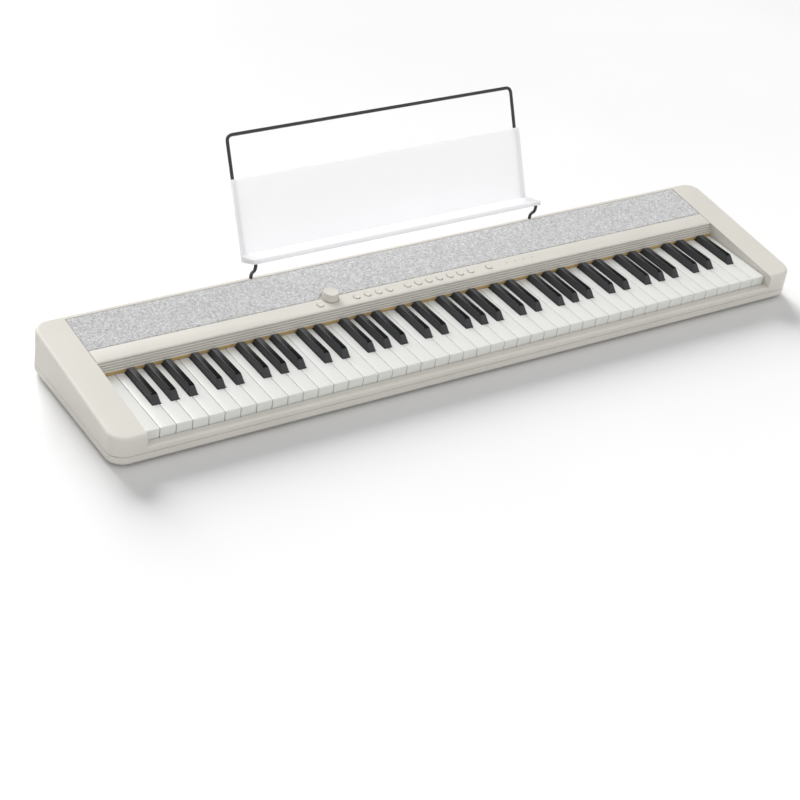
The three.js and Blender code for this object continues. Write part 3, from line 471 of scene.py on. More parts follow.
def moulded_plastic(name, base, roughness=0.45, grain=0.03 * MM, spread=0.02):
    """Moulded plastic: slow shade changes, a fine spark-eroded grain and uneven gloss."""
    made = Finish(name, roughness)
    made.paint(made.ramp(made.noise(14, 3), *shades(base, spread)))
    made.gloss(made.span(made.noise(60, 4), roughness - 0.05, roughness + 0.07))
    made.raise_by(made.noise(2600, 2, 0.6), grain, strength=0.5)
    made.raise_by(made.noise(25, 2), 0.06 * MM, strength=0.25)
    return made.set(IOR=1.46).material


def white_key_plastic(name, base):
    """Semi-gloss key plastic with a faint brushed grain along the key."""
    made = Finish(name, 0.3)
    made.paint(made.ramp(made.noise(9, 3), *shades(base, 0.012)))
    made.gloss(made.span(made.noise(90, 4, stretch=(1, 0.2, 1)), 0.24, 0.36))
    made.raise_by(made.noise(1500, 2, stretch=(1, 0.15, 1)), 0.01 * MM, strength=0.5)
    return made.set(IOR=1.49, Coat_Weight=0.25, Coat_Roughness=0.12).material


def black_key_plastic(name, base):
    """Key plastic that is smooth on the ridge and grained on the sides, as the ridge mask says; the ridge's
    colour is painted far darker than the sides', as painted shade.
    """
    made = Finish(name, 0.5)
    ridge = made.attribute("ridge")
    low, high = shades(base, 0.3)
    sides = made.ramp(made.noise(900, 4, 0.7), low, high, 0.35, 0.65)
    # Painted shade: the ridge gets a sixteenth to a sixth of the sides' colour, standing in for the dark that
    # its gloss reflects.
    top = made.ramp(made.noise(40, 3), scaled(base, 0.06), scaled(base, 0.16))
    made.paint(made.mix(ridge, sides, top))
    made.gloss(made.span(ridge, 0.55, 0.24))
    made.links.new(made.span(ridge, 0.5, 0.1), made.shader.inputs["Specular IOR Level"])
    grain = made.math("MULTIPLY", made.noise(1900, 3, 0.7), made.span(ridge, 1.0, 0.25))
    made.raise_by(grain, 0.09 * MM, strength=0.8)
    return made.set(IOR=1.5).material


def woven_cloth(name, base):
    """Plain weave of heathered yarn. The warp and weft are sine ridges one pitch apart that pass over
    each other by turns; each length of yarn has its own shade, and the fibre blend drifts slowly."""
    pitch, yarn_length = 0.9 * MM, 0.28
    turns = 2 * math.pi / pitch
    made = Finish(name, 0.92)
    split = made.nodes.new("ShaderNodeSeparateXYZ")
    made.links.new(made.place, split.inputs["Vector"])
    warp = made.math("SINE", made.math("MULTIPLY", split.outputs["X"], turns), 0.0)
    weft = made.math("SINE", made.math("MULTIPLY", split.outputs["Y"], turns), 0.0)
    weave = made.math("MULTIPLY", warp, weft)
    along_x = made.cells(1 / pitch, (yarn_length, 1.0, 0.02), "Color")
    along_y = made.cells(1 / pitch, (1.0, yarn_length, 0.02), "Color")
    yarn = made.mix(made.span(weave, 0.0, 1.0, -0.25, 0.25), along_x, along_y)
    grey = made.nodes.new("ShaderNodeRGBToBW")
    made.links.new(yarn, grey.inputs["Color"])
    drift = made.noise(560, 3, 0.7)
    yarn_part = made.math("MULTIPLY", grey.outputs["Val"], 0.55)
    drift_part = made.math("MULTIPLY", drift, 0.45)
    blend = made.math("ADD", yarn_part, drift_part)
    made.paint(made.ramp(blend, *shades(base, 0.45)))
    made.raise_by(weave, 0.16 * MM, strength=0.7)
    made.raise_by(made.noise(4200, 3, 0.7), 0.05 * MM, strength=0.7)
    return made.set(Sheen_Weight=0.25, Sheen_Roughness=0.5).material


def felt_cloth(name, base):
    """Pressed felt: matted fibres as stretched noise, with lighter loose ones."""
    made = Finish(name, 0.95)
    fibres = made.noise(1300, 5, 0.7, stretch=(0.5, 1.0, 1.4))
    made.paint(made.ramp(fibres, scaled(base, 0.62), scaled(base, 1.3), 0.32, 0.68))
    made.raise_by(fibres, 0.25 * MM, strength=0.8)
    return made.set(Sheen_Weight=0.4, Sheen_Roughness=0.6).material


def satin_sheet(name, base):
    """Smooth satin sheet that lets some light through, with a faint fine orange peel."""
    made = Finish(name, 0.33)
    made.paint(made.ramp(made.noise(6, 2), *shades(base, 0.01)))
    made.gloss(made.span(made.noise(45, 4), 0.28, 0.4))
    made.raise_by(made.noise(420, 2), 0.02 * MM, strength=0.35)
    made.set(Subsurface_Weight=0.7, Subsurface_Scale=0.02)
    made.shader.inputs["Subsurface Radius"].default_value = (1.0, 1.0, 1.0)
    return made.set(IOR=1.49, Coat_Weight=0.2, Coat_Roughness=0.2).material


def coated_wire(name, base):
    """Powder-coated steel: fine pebbled relief under a satin black."""
    made = Finish(name, 0.38)
    made.paint(made.ramp(made.noise(300, 3), *shades(base, 0.25)))
    made.gloss(made.span(made.noise(500, 3), 0.32, 0.48))
    made.raise_by(made.noise(2200, 2), 0.04 * MM, strength=0.6)
    return made.set(IOR=1.5, Coat_Weight=0.3, Coat_Roughness=0.25).material


def plain_rubber(name, base=(0.03, 0.03, 0.03)):
    """Matt rubber with a fine grain."""
    made = Finish(name, 0.85)
    made.paint(made.ramp(made.noise(500, 4), *shades(base, 0.3)))
    made.raise_by(made.noise(1600, 3), 0.08 * MM, strength=0.7)
    return made.material


def circuit_board(name, base=(0.02, 0.11, 0.05)):
    """Solder mask over copper tracks, whose edges are steps in a cell pattern."""
    made = Finish(name, 0.35)
    tracks = made.cells(240, (1, 1, 0.01), "Distance")
    made.paint(made.ramp(tracks, scaled(base, 1.7), base, 0.42, 0.5))
    made.raise_by(made.span(tracks, 1.0, 0.0, 0.4, 0.5), 0.04 * MM, strength=0.8)
    return made.set(Coat_Weight=0.4).material


def pressed_metal(name, base=(0.05, 0.05, 0.055)):
    """Dark coated steel with a fine grain."""
    made = Finish(name, 0.45, 0.6)
    made.paint(made.ramp(made.noise(80, 4), *shades(base, 0.25)))
    made.raise_by(made.noise(900, 3), 0.04 * MM, strength=0.5)
    return made.material


def bright_metal(name, base=(0.62, 0.62, 0.64)):
    """Plated metal with a faint brushed gloss."""
    made = Finish(name, 0.28, 1.0)
    made.paint(made.ramp(made.noise(120, 4), *shades(base, 0.1)))
    made.gloss(made.span(made.noise(400, 3, stretch=(1, 0.1, 1)), 0.2, 0.38))
    return made.material


FINISHES = {}


def finish(name):
    """The finish of a slot, made the first time that it is asked for."""
    if name in FINISHES:
        return FINISHES[name]
    tint = bpy.context.scene.piano_colours
    makers = {
        "case_plastic": lambda n: moulded_plastic(n, tint.case),
        "rib_plastic": lambda n: moulded_plastic(n, scaled(tint.case, 0.97)),
        "white_key_plastic": lambda n: white_key_plastic(n, tint.white_key),
        "black_key_plastic": lambda n: black_key_plastic(n, tint.black_key),
        "speaker_fabric": lambda n: woven_cloth(n, tint.cloth),
        "felt": lambda n: felt_cloth(n, tint.felt),
        "rest_sheet": lambda n: satin_sheet(n, tint.sheet),
        "rest_wire": lambda n: coated_wire(n, tint.wire),
        "foot_rubber": plain_rubber,
        "circuit_board": circuit_board,
        "speaker_metal": pressed_metal,
        "bright_metal": bright_metal,
        "inner_plastic": lambda n: moulded_plastic(n, (0.10, 0.10, 0.098), 0.6, 0.06 * MM, 0.1),
        "socket_plastic": lambda n: moulded_plastic(n, (0.02, 0.02, 0.021), 0.45, 0.04 * MM, 0.15),
    }
    FINISHES[name] = makers[name](name)
    return FINISHES[name]


# ------------------------------------------------------------------ case


def corner_arc(x, y, radius, start, steps=14):
    """A quarter circle about a corner's centre, from an angle in degrees."""
    return arc((x, y), radius, start, start + 90, steps)


def case_paths():
    """The outline of the case and, point for point, the line inside it where the top surface ends.
    Each row is (outer x, outer y, inner x, inner y, on a cheek or the border: 1, on the slip: 0)."""
    prop = bpy.context.scene.piano_case
    half, bed = P.case_high[0], P.bed_half
    front, rear = P.case_low[1], P.case_high[1]
    slip = P.key_front - prop.slip_gap
    back = P.opening_rear
    r = CORNER_RADIUS
    outer = np.vstack([
        [[bed, front], [half - r, front]],
        corner_arc(half - r, front + r, r, -90)[1:],
        [[half, rear - r]],
        corner_arc(half - r, rear - r, r, 0)[1:],
        [[bed, rear]],
    ])
    travel = np.concatenate([[0], np.cumsum(np.linalg.norm(np.diff(outer, axis=0), axis=1))])
    share = np.clip((travel - travel[1]) / (travel[-2] - travel[1]), 0, 1)
    inner = np.column_stack([np.full(len(outer), bed), slip + share * (back - slip)])
    right = np.column_stack([outer, inner, np.ones(len(outer))])
    left = right[::-1] * [-1, 1, -1, 1, 1]
    slip_front = np.array([[-bed, front, -bed, slip, 0], [bed, front, bed, slip, 0]])
    return np.vstack([slip_front, right, left])


def upper_shell():
    """A ring: at each point of the outline a section goes up the outer wall, over a rounded edge,
    across the top to the inner line, and down. On the slip the section stops lower."""
    prop = bpy.context.scene.piano_case
    path = case_paths()
    outer, inner, high = path[:, :2], path[:, 2:4], path[:, 4]
    bottom = P.case_low[2]
    slip_top = P.key_top - prop.slip_drop
    radius = np.where(high > 0, prop.edge, prop.slip_edge)
    inward = outline_normals(outer)
    inward[[0, 1]] = [0.0, 1.0]
    inward[[2, -1]] = [0.0, 1.0]
    inward[[len(path) // 2, len(path) // 2 + 1]] = [0.0, -1.0]
    a = np.linspace(0, np.pi / 2, 9)
    run = radius[:, None] * (1 - np.cos(a))
    drop = radius[:, None] * (1 - np.sin(a))
    edge_xy = outer[:, None] + inward[:, None] * run[..., None]
    top_at = np.where(high[:, None] > 0, P.top(edge_xy[..., 1]), slip_top)
    edge = np.concatenate([edge_xy, (top_at - drop)[..., None]], axis=2)

    def level(xy, z):
        return np.column_stack([xy, np.broadcast_to(z, len(xy))])[:, None]

    inner_top = np.where(high > 0, P.top(inner[:, 1]), slip_top)
    knee = slip_top - prop.slip_edge
    points = np.concatenate([
        level(outer, bottom), level(outer, knee), edge,
        level(inner, inner_top), level(inner, slip_top), level(inner, bottom),
    ], axis=1)
    faces = grid_faces(len(path), points.shape[1], round_rows=True, round_columns=True)
    return put("case_shell", points, faces)


def outline_normals(outline):
    """The inward unit normal of a closed outline that runs anticlockwise, at each of its points."""
    ahead = np.roll(outline, -1, axis=0) - outline
    behind = outline - np.roll(outline, 1, axis=0)
    unit = [v / np.maximum(np.linalg.norm(v, axis=1), 1e-12)[:, None] for v in (ahead, behind)]
    sides = sum(np.column_stack([-v[:, 1], v[:, 0]]) for v in unit)
    return sides / np.maximum(np.linalg.norm(sides, axis=1), 1e-12)[:, None]


def bore(piece, cutters):
    """Cuts the cutters out of the piece's own mesh and removes them."""
    for cutter in cutters:
        cut = piece.modifiers.new("Bore", "BOOLEAN")
        cut.operation = "DIFFERENCE"
        cut.solver = "EXACT"
        cut.object = cutter
        bpy.context.view_layer.update()
        graph = bpy.context.evaluated_depsgraph_get()
        mesh = bpy.data.meshes.new_from_object(piece.evaluated_get(graph))
        piece.modifiers.remove(cut)
        piece.data = mesh
        bpy.data.objects.remove(cutter)
    piece.data.shade_smooth()
    piece.data.set_sharp_from_angle(angle=math.radians(SHARP_ANGLE))
    return piece


def pin(name, centre, axis, radius, reach):
    """A round cutter about a centre."""
    profile = [(0, -reach), (radius, -reach), (radius, reach), (0, reach)]
    return turned(name, profile, centre, axis, 32)


def socket_places():
    """The middle of each round hole in the rear wall, with its name."""
    low, high = span("jack_block")
    inlet_low, inlet_high = span("power_inlet")
    z = (low[2] + high[2]) / 2
    half = (inlet_high[0] - inlet_low[0]) / 2
    y = P.case_high[1]
    return {
        "phones": (low[0] + half, y, z),
        "pedal": (high[0] - half, y, z),
        "power": ((inlet_low[0] + inlet_high[0]) / 2, y, z),
    }


def rounded_outline(half, front, rear, radius, steps=14):
    """A rectangle with round corners, anticlockwise from the right of its front edge."""
    return np.vstack([
        corner_arc(half - radius, front + radius, radius, -90, steps),
        corner_arc(half - radius, rear - radius, radius, 0, steps),
        corner_arc(-half + radius, rear - radius, radius, 90, steps),
        corner_arc(-half + radius, front + radius, radius, 180, steps),
    ])


def tray():
    """One sheet folded round: rings go from the middle of the battery bay's roof, inside, down over
    the floor and up the wall, across the rim, down outside, in along the bottom and up into the bay."""
    prop = bpy.context.scene.piano_case
    low, high = P.tray_low, P.tray_high
    cover_low, cover_high = span("battery_cover")
    gap, bay_corner = 0.4 * MM, 0.5 * MM
    wall, steps = prop.wall, 14
    outline = rounded_outline(high[0], low[1], high[1], CORNER_RADIUS, steps)
    inward = outline_normals(outline)
    half = cover_high[0] + gap
    bay_front, bay_rear = cover_low[1] - gap, cover_high[1] + gap
    mouth = rounded_outline(half, bay_front, bay_rear, bay_corner, steps)
    bay_out = rounded_outline(half + wall, bay_front - wall, bay_rear + wall, bay_corner + wall, steps)
    middle = np.array([[0.0, (cover_low[1] + cover_high[1]) / 2]] * len(outline))
    bay_roof = high[2]
    floor, rim = low[2] + wall, P.case_low[2] - prop.seam

    def ring(xy, z):
        return np.column_stack([xy, np.full(len(xy), z)])

    a = np.linspace(0, np.pi / 2, 8)
    bottom_edge = [
        ring(outline + inward * prop.chamfer * (1 - math.cos(t)), low[2] + prop.chamfer * (1 - math.sin(t)))
        for t in a
    ]
    inside = outline + inward * wall
    foot = outline + inward * (prop.chamfer + wall)
    rings = [
        ring(middle, bay_roof), ring(bay_out, bay_roof), ring(bay_out, floor), ring(foot, floor),
        ring(inside, floor + prop.chamfer), ring(inside, rim), ring(outline, rim), *bottom_edge,
        ring(mouth, low[2]), ring(mouth, bay_roof - wall), ring(middle, bay_roof - wall),
    ]
    points = np.stack(rings)
    return put("case_tray", points, grid_faces(*points.shape[:2], round_columns=True))


def battery_lid():
    """A plate with round corners and a row of finger grooves, as two levels of the same outline."""
    low, high = span("battery_cover")
    outline = rounded_outline(high[0], low[1], high[1], 1.2 * MM, 6)
    rings = [np.column_stack([outline, np.full(len(outline), z)]) for z in (low[2], high[2])]
    lid = lofted("battery_lid", np.stack(rings))
    slot_pitch, half_width, half_length, depth = 2.4 * MM, 0.6 * MM, 2.2 * MM, 0.9 * MM
    y = high[1] - 4.5 * MM
    levels = (low[2] - 1 * MM, low[2] + depth)
    slots = [
        lofted("slot", slot_rings(n * slot_pitch, y, half_width, half_length, levels)) for n in range(-3, 4)
    ]
    return soften(bore(lid, slots), 0.3 * MM)


def slot_rings(x, y, half_width, half_length, levels):
    """A long hole with round ends, as two levels of one outline."""
    straight = half_length - half_width
    outline = np.vstack([
        arc((x, y + straight), half_width, 0, 180, 8),
        arc((x, y - straight), half_width, 180, 360, 8),
    ])
    return np.stack([np.column_stack([outline, np.full(len(outline), z)]) for z in levels])


def screw_places():
    """Four screws along the front and rear of the underside, clear of the feet and the bay."""
    xs = np.array([-0.42, -0.21, 0.21, 0.42]) * (P.tray_high[0] * 2)
    front, rear = P.tray_low[1] + 40 * MM, P.tray_high[1] - 45 * MM
    return [(x, y, P.tray_low[2]) for y in (front, rear) for x in xs]


def recessed_screw(name, centre):
    """A pan head with a dished middle, sunk in its hole, as a turned profile in millimetres."""
    profile = [(0, 1.1), (0.6, 1.1), (0.9, 0.55), (1.6, 0.42), (2.3, 0.62), (2.9, 1.3), (2.9, 2.4), (0, 2.4)]
    return turned(name, np.array(profile) * MM, centre, (0, 0, 1), 24)


def rubber_foot(node, name):
    """A turned foot with a round lower edge and a shallow hollow beneath."""
    low, high = span(node)
    centre = ((low[0] + high[0]) / 2, (low[1] + high[1]) / 2, 0)
    r, top = (high[0] - low[0]) / 2, high[2]
    curl, hollow = 1.2 * MM, 0.25 * MM
    edge = arc((r - curl, curl), curl, -90, 0, 6)
    dish = [(0, hollow), (r - 2.6 * MM, hollow), (r - 2.2 * MM, 0.0)]
    profile = np.vstack([dish, edge, [(r, top)], [(0, top)]])
    return turned(name, profile, centre, (0, 0, 1), 40)


# ------------------------------------------------------------------ keys


WHITE_LETTERS = "cdefgab"


def white_keys():
    """(number, x of the left edge, letter, octave) of every white key, from the frame's octaves."""
    first_low, _ = span("white_keys_octave_1")
    last = max(n for n in frame["nodes"] if n.startswith("white_keys_octave_"))
    _, last_high = span(last)
    start = first_low[0]
    count = round((last_high[0] - start + P.key_gap) / P.pitch)
    c4 = round((span("key_c4")[0][0] - start) / P.pitch)
    keys = []
    for n in range(count):
        place = n - c4
        keys.append((n, start + n * P.pitch, WHITE_LETTERS[place % 7], 4 + place // 7))
    return keys


def black_keys():
    """(x of the middle, letter, octave) of every black key: octave 4 from the frame, others a whole
    number of octaves away, between the first and last white key."""
    whites = white_keys()
    low, high = whites[0][1] + P.pitch / 2, whites[-1][1] + P.pitch / 2
    keys = []
    for letter in "cdfga":
        box_low, box_high = span(f"key_{letter}_sharp4")
        middle = (box_low[0] + box_high[0]) / 2
        for octave in range(1, 8):
            x = middle + (octave - 4) * 7 * P.pitch
            if low < x < high:
                keys.append((x, letter, octave))
    return sorted(keys)


def key_body(colour_name, letter, octave):
    """The body that a key rides: its own in the split octave, and its comb's in the others."""
    sharp = "_sharp" if colour_name == "black" else ""
    return f"key_{letter}{sharp}{octave}" if octave == 4 else f"{colour_name}_keys_octave_{octave}"


def section_of(left, right, low, high, y, radius, steps=5):
    """A ring in the plane of one y: square below, with two rounded top corners."""
    right_top = arc((right - radius, high - radius), radius, 0, 90, steps)
    left_top = arc((left + radius, high - radius), radius, 90, 180, steps)
    ring = np.vstack([[(left, low), (right, low)], right_top, left_top])
    return np.column_stack([ring[:, 0], np.full(len(ring), y), ring[:, 1]])


def white_key(number, left, cuts):
    """Sections carried back from the front: a rounded lip, the apron, the slab, the step beside the
    black keys and the tail."""
    prop = bpy.context.scene.piano_keys
    right = left + P.pitch - P.key_gap
    tail_left, tail_right, shoulder = cuts
    top, front, rear = P.key_top, P.key_front, P.key_rear
    slab = top - prop.slab
    a = np.linspace(0, np.pi / 2, 6)
    stations = [
        (front + prop.lip * (1 - math.cos(t)), prop.lip * (1 - math.sin(t)), P.key_low) for t in a
    ]
    edge, side_most = 0.45 * MM, 0.4 * MM
    rings = []
    for y, sunk, low in stations:
        side = min(sunk, side_most)
        rings.append(section_of(left + side, right - side, low, top - sunk, y, edge))
    for y, x0, x1, low in (
        (front + prop.apron, left, right, P.key_low), (front + prop.apron, left, right, slab),
        (shoulder, left, right, slab), (shoulder, tail_left, tail_right, slab),
        (rear, tail_left, tail_right, slab),
    ):
        rings.append(section_of(x0, x1, low, top, y, edge))
    return lofted(f"white_key_{number + 1:02d}", np.stack(rings))


def cap_section(x, half_low, half_high, low, base, high, y, radius, steps=6):
    """A ring in the plane of one y: a straight foot up to the base, then walls that lean in to two
    rounded top corners. The corner arcs turn through the wall's own lean."""
    least_height, most_round = 0.3 * MM, 0.45
    high = max(high, base + least_height)
    lean = math.atan2(half_low - half_high, high - base)
    radius = min(radius, (high - base) * most_round)
    reach = radius * math.tan((math.pi / 2 - lean) / 2)
    centre = half_high - reach
    right = arc((x + centre, high - radius), radius, math.degrees(lean), 90, steps)
    left = arc((x - centre, high - radius), radius, 90, 180 - math.degrees(lean), steps)
    ring = np.vstack([
        [(x - half_low, low), (x + half_low, low), (x + half_low, base)], right, left, [(x - half_low, base)],
    ])
    return np.column_stack([ring[:, 0], np.full(len(ring), y), ring[:, 1]])


def cap_line(front, base, high):
    """(y, z) of a black key's top line from the foot of the sloped front: z rises along the slope,
    turns over on a parabola, falls slightly, and rounds down like a quarter ellipse at the rear."""
    prop = bpy.context.scene.piano_keys
    rear, turn = P.cap_rear, prop.cap_turn
    fall_share, end_share = 0.11, 0.35
    slope = np.linspace(0, 1, 7)[:-1]
    bend = np.linspace(0, 1, 8)
    y_slope = front + (prop.cap_bevel - turn) * slope
    y_bend = front + prop.cap_bevel - turn + 2 * turn * bend
    rise = (high - base) / prop.cap_bevel
    z_slope = base + rise * (y_slope - front)
    z_bend = base + rise * (prop.cap_bevel - turn) + rise * turn * (2 * bend - bend**2)
    fall = (high - base) * fall_share
    y_top = np.linspace(y_bend[-1], rear - prop.cap_end, 4)[1:]
    z_top = high - fall * (y_top - y_bend[-1]) / (rear - prop.cap_end - y_bend[-1])
    a = np.linspace(0, np.pi / 2, 9)[1:]
    y_end = rear - prop.cap_end * (1 - np.sin(a))
    z_end = base + (high - fall - base) * (end_share + (1 - end_share) * np.cos(a))
    return np.concatenate([y_slope, y_bend, y_top, y_end]), np.concatenate([z_slope, z_bend, z_top, z_end])


def black_key(number, x, node_box):
    """Sections carried back along the top line, wider and squarer where the line is low, and then
    along the low tail that runs under the panel."""
    prop = bpy.context.scene.piano_keys
    low_corner, high_corner = node_box
    base, low, high = P.key_top, low_corner[2], high_corner[2]
    half_low = (high_corner[0] - low_corner[0]) / 2
    half_high = prop.cap_top / 2
    ys, zs = cap_line(low_corner[1], base, high)
    grow = np.clip((zs - base) / (high - base), 0, 1)
    tops = half_low + (half_high - half_low) * grow
    least, growth = 0.15 * MM, 1.6
    rounding = np.minimum(prop.cap_edge, least + prop.cap_edge * grow * growth)
    rings = [
        cap_section(x, half_low, t, low, base, z, y, r) for y, z, t, r in zip(ys, zs, tops, rounding)
    ]
    tail_high = base - 1.0 * MM
    tail_base, tail_edge = tail_high - 0.6 * MM, 0.2 * MM
    for y in (P.cap_rear, high_corner[1]):
        rings.append(cap_section(x, half_low, half_low, low, tail_base, tail_high, y, tail_edge))
    made = lofted(f"black_key_{number + 1:02d}", np.stack(rings), sharp=40)
    ridge_depth = 1.3 * MM
    mark_ridge_shade_and_gloss(made, high - ridge_depth)
    return made


def mark_ridge_shade_and_gloss(piece, start):
    """A mask that is 1 on the ridge and 0 on the walls: it rises over the last of the height, on points whose
    normal leans up. The black keys' finish uses it to paint the ridge darker, as painted shade, and to make
    it glossier."""
    mesh = piece.data
    points = np.empty(len(mesh.vertices) * 3, np.float32)
    mesh.vertices.foreach_get("co", points)
    z = points.reshape(-1, 3)[:, 2]
    normals = np.empty(len(mesh.vertices) * 3, np.float32)
    mesh.vertices.foreach_get("normal", normals)
    leaning, upright, run = 0.55, 0.85, 0.6 * MM
    up = np.clip((normals.reshape(-1, 3)[:, 2] - leaning) / (upright - leaning), 0, 1)
    high = np.clip((z - start) / run, 0, 1)
    mask = mesh.attributes.new("ridge", "FLOAT", "POINT")
    mask.data.foreach_set("value", (high * up).astype(np.float32))


# ------------------------------------------------------------------ trim


def felt_piece():
    """A soft strip: its section is a flat oblong with round edges, and its faces swell and sink
    along x by the mean of two sine waves."""
    low, high = span("felt_strip")
    curl, swell = 0.5 * MM, 0.06 * MM
    y0, y1, z0, z1 = low[1], high[1], low[2], high[2]
    ring = np.vstack([
        corner_arc(y1 - curl, z0 + curl, curl, -90, 4), corner_arc(y1 - curl, z1 - curl, curl, 0, 4),
        corner_arc(y0 + curl, z1 - curl, curl, 90, 4), corner_arc(y0 + curl, z0 + curl, curl, 180, 4),
    ])
    x = np.linspace(low[0], high[0], 360)
    wave = swell * (np.sin(x * 410) + np.sin(x * 933 + 1.3)) / 2
    sections = np.stack([
        np.broadcast_to(x[:, None], (len(x), len(ring))),
        ring[None, :, 0] + wave[:, None] * np.sign(ring[None, :, 0] - (y0 + y1) / 2) * 0.5,
        ring[None, :, 1] + wave[:, None] * (ring[None, :, 1] > (z0 + z1) / 2),
    ], axis=2)
    return lofted("felt_edge", sections)


def louvre_piece():
    """The ribbed strip: a section of round-edged ribs on a sloping face, carried along x."""
    prop = bpy.context.scene.piano_controls
    low, high = span("louvre_strip")
    _, felt_high = span("felt_strip")
    clear, lean, plain, groove = 0.3 * MM, 6.6 * MM, 1.5 * MM, 1.4 * MM
    foot = np.array([low[1], felt_high[2] + clear])
    head_y = low[1] + lean
    head = np.array([head_y, P.top(head_y)])
    up = (head - foot) / np.linalg.norm(head - foot)
    inward = np.array([up[1], -up[0]])
    reach = np.linalg.norm(head - foot)
    pitch = (reach + plain) / prop.ribs
    width, depth = pitch - groove, 2.4 * MM
    curl = 0.45 * MM
    rib = np.array([
        (0, 0.6 * depth), (0, curl), (curl * 0.3, curl * 0.3), (curl, 0), (width - curl, 0),
        (width - curl * 0.3, curl * 0.3), (width, curl), (width, depth), (pitch, depth),
    ])
    starts = np.arange(prop.ribs)[:, None, None] * [[[pitch, 0]]]
    face = (rib[None] + starts).reshape(-1, 2)[:-2]
    face_points = foot + face[:, :1] * up + face[:, 1:] * inward
    land = head_y + 1.2 * MM
    under = P.top(head_y) - 3.1 * MM
    behind_felt = felt_high[1] + clear
    heel = felt_high[1] + 3.5 * MM
    back = [
        (land, P.top(land)), (land, under), (land + 3.2 * MM, under), (heel, foot[1]), (heel, low[2]),
        (behind_felt, low[2]), (behind_felt, foot[1]),
    ]
    outline = np.vstack([face_points, back])
    return bar("louvre", outline[::-1], low[0], high[0], 30)


def normal_of_top():
    """The direction square to the sloping top."""
    return np.array([0, -math.sin(P.tilt), math.cos(P.tilt)])


def sloped(xy, lift=0.0):
    """Points on the sloping top from their x and y, raised along its normal."""
    xy = np.asarray(xy, float)
    on_top = np.column_stack([xy, P.top(xy[:, 1])])
    return on_top + np.asarray(lift).reshape(-1, 1) * normal_of_top()


def button_names():
    """The bodies of the push buttons in order."""
    return sorted(b for b in frame["bodies"] if "button" in b)


def top_centre(body):
    """Where the axis of a round control meets the sloping top."""
    low, high = span(body)
    x = (low[0] + high[0]) / 2
    radius = (high[0] - low[0]) / 2
    y_low = low[1] + radius * math.cos(P.tilt)
    y_high = high[1] - radius * math.cos(P.tilt)
    return np.array([x, (y_low + y_high) / 2])


def cell_rays(centre, half_width, front, rear, lobe, steps=48):
    """Rays from the middle of a cell: their directions, and how far each goes to the cell's edge,
    which is a rectangle, or a circle of the lobe's radius where that reaches further."""
    corners = [math.atan2(y - centre[1], side * half_width) for y in (front, rear) for side in (-1, 1)]
    even = np.linspace(-np.pi, np.pi, steps, endpoint=False)
    angle = np.unique(np.round(np.concatenate([even, corners]), 7))
    c, s = np.cos(angle), np.sin(angle)
    to_side = half_width / np.maximum(np.abs(c), 1e-9)
    to_rear = np.where(s > 1e-9, (rear - centre[1]) / np.maximum(s, 1e-9), np.inf)
    to_front = np.where(s < -1e-9, (front - centre[1]) / np.minimum(s, -1e-9), np.inf)
    reach = np.maximum(np.minimum(np.minimum(to_side, to_rear), to_front), lobe)
    return np.column_stack([c, s]), reach


def side_of_cell(points, x, start):
    """Numbers of the points that stand on the line at x, from front to rear."""
    on_line = np.flatnonzero(np.abs(points[:, 0] - x) < 1e-6)
    return [start + int(n) for n in on_line[np.argsort(points[on_line, 1])]]


def panel_cells():
    """(centre, half width, lobe radius, steps of radius and depth) of every round control, by x. The
    knob's cell has a ring groove round the knob's skirt."""
    hole, land = 5.5, 5.75
    shaft, groove_in, groove_out, groove_depth, groove_slope = 3.5, 12.1, 13.2, 1.8, 0.1
    button = [(hole, 0.0), (land, 0.0)]
    knob = [
        (shaft, 0.0), (groove_in - groove_slope, 0.0), (groove_in, -groove_depth),
        (groove_out, -groove_depth), (groove_out + groove_slope, 0.0),
    ]
    button_cell, knob_cell, lobe = 6.4 * MM, 14.3 * MM, 14.0 * MM
    cells = [(top_centre(body), button_cell, 0.0, button) for body in button_names()]
    cells.append((top_centre("volume_knob"), knob_cell, lobe, knob))
    return sorted(cells, key=lambda cell: cell[0][0])


def panel_piece():
    """The control strip: a cell of rings for each round control, and between neighbours a flat face
    that shares their side points. Thickness and soft edges come from modifiers."""
    low, high = span("control_panel")
    gap = bpy.context.scene.piano_case.trim_gap
    front = low[1]
    rear = P.cloth_front - OPENING_CLEARANCE - gap
    points = [np.array([(low[0] + gap, front, 0), (low[0] + gap, rear, 0)])]
    faces, count, left = [], 2, [0, 1]
    for centre, half_width, lobe, steps in panel_cells():
        spokes, reach = cell_rays(centre, half_width, front, rear, lobe)
        rings = [np.column_stack([centre + spokes * r * MM, np.full(len(spokes), z * MM)]) for r, z in steps]
        rings.append(np.column_stack([centre + spokes * reach[:, None], np.zeros(len(spokes))]))
        faces += grid_faces(len(rings), len(spokes), round_columns=True, start=count)
        edge_start = count + (len(rings) - 1) * len(spokes)
        near = side_of_cell(rings[-1], centre[0] - half_width, edge_start)
        faces.append(left + near[::-1])
        left = side_of_cell(rings[-1], centre[0] + half_width, edge_start)
        points += rings
        count += len(rings) * len(spokes)
    points.append(np.array([(high[0] - gap, front, 0), (high[0] - gap, rear, 0)]))
    faces.append(left + [count + 1, count])
    flat = np.vstack(points)
    piece = put("panel", sloped(flat[:, :2], flat[:, 2]), faces)
    face_up(piece)
    thick = piece.modifiers.new("Thickness", "SOLIDIFY")
    thick.thickness = 2.5 * MM
    thick.offset = -1.0
    return soften(piece, 0.35 * MM, 3, 50)


def face_up(piece):
    """Turns an open sheet over if its faces point down."""
    mesh = piece.data
    if sum(p.normal.z * p.area for p in mesh.polygons) < 0:
        mesh.flip_normals()


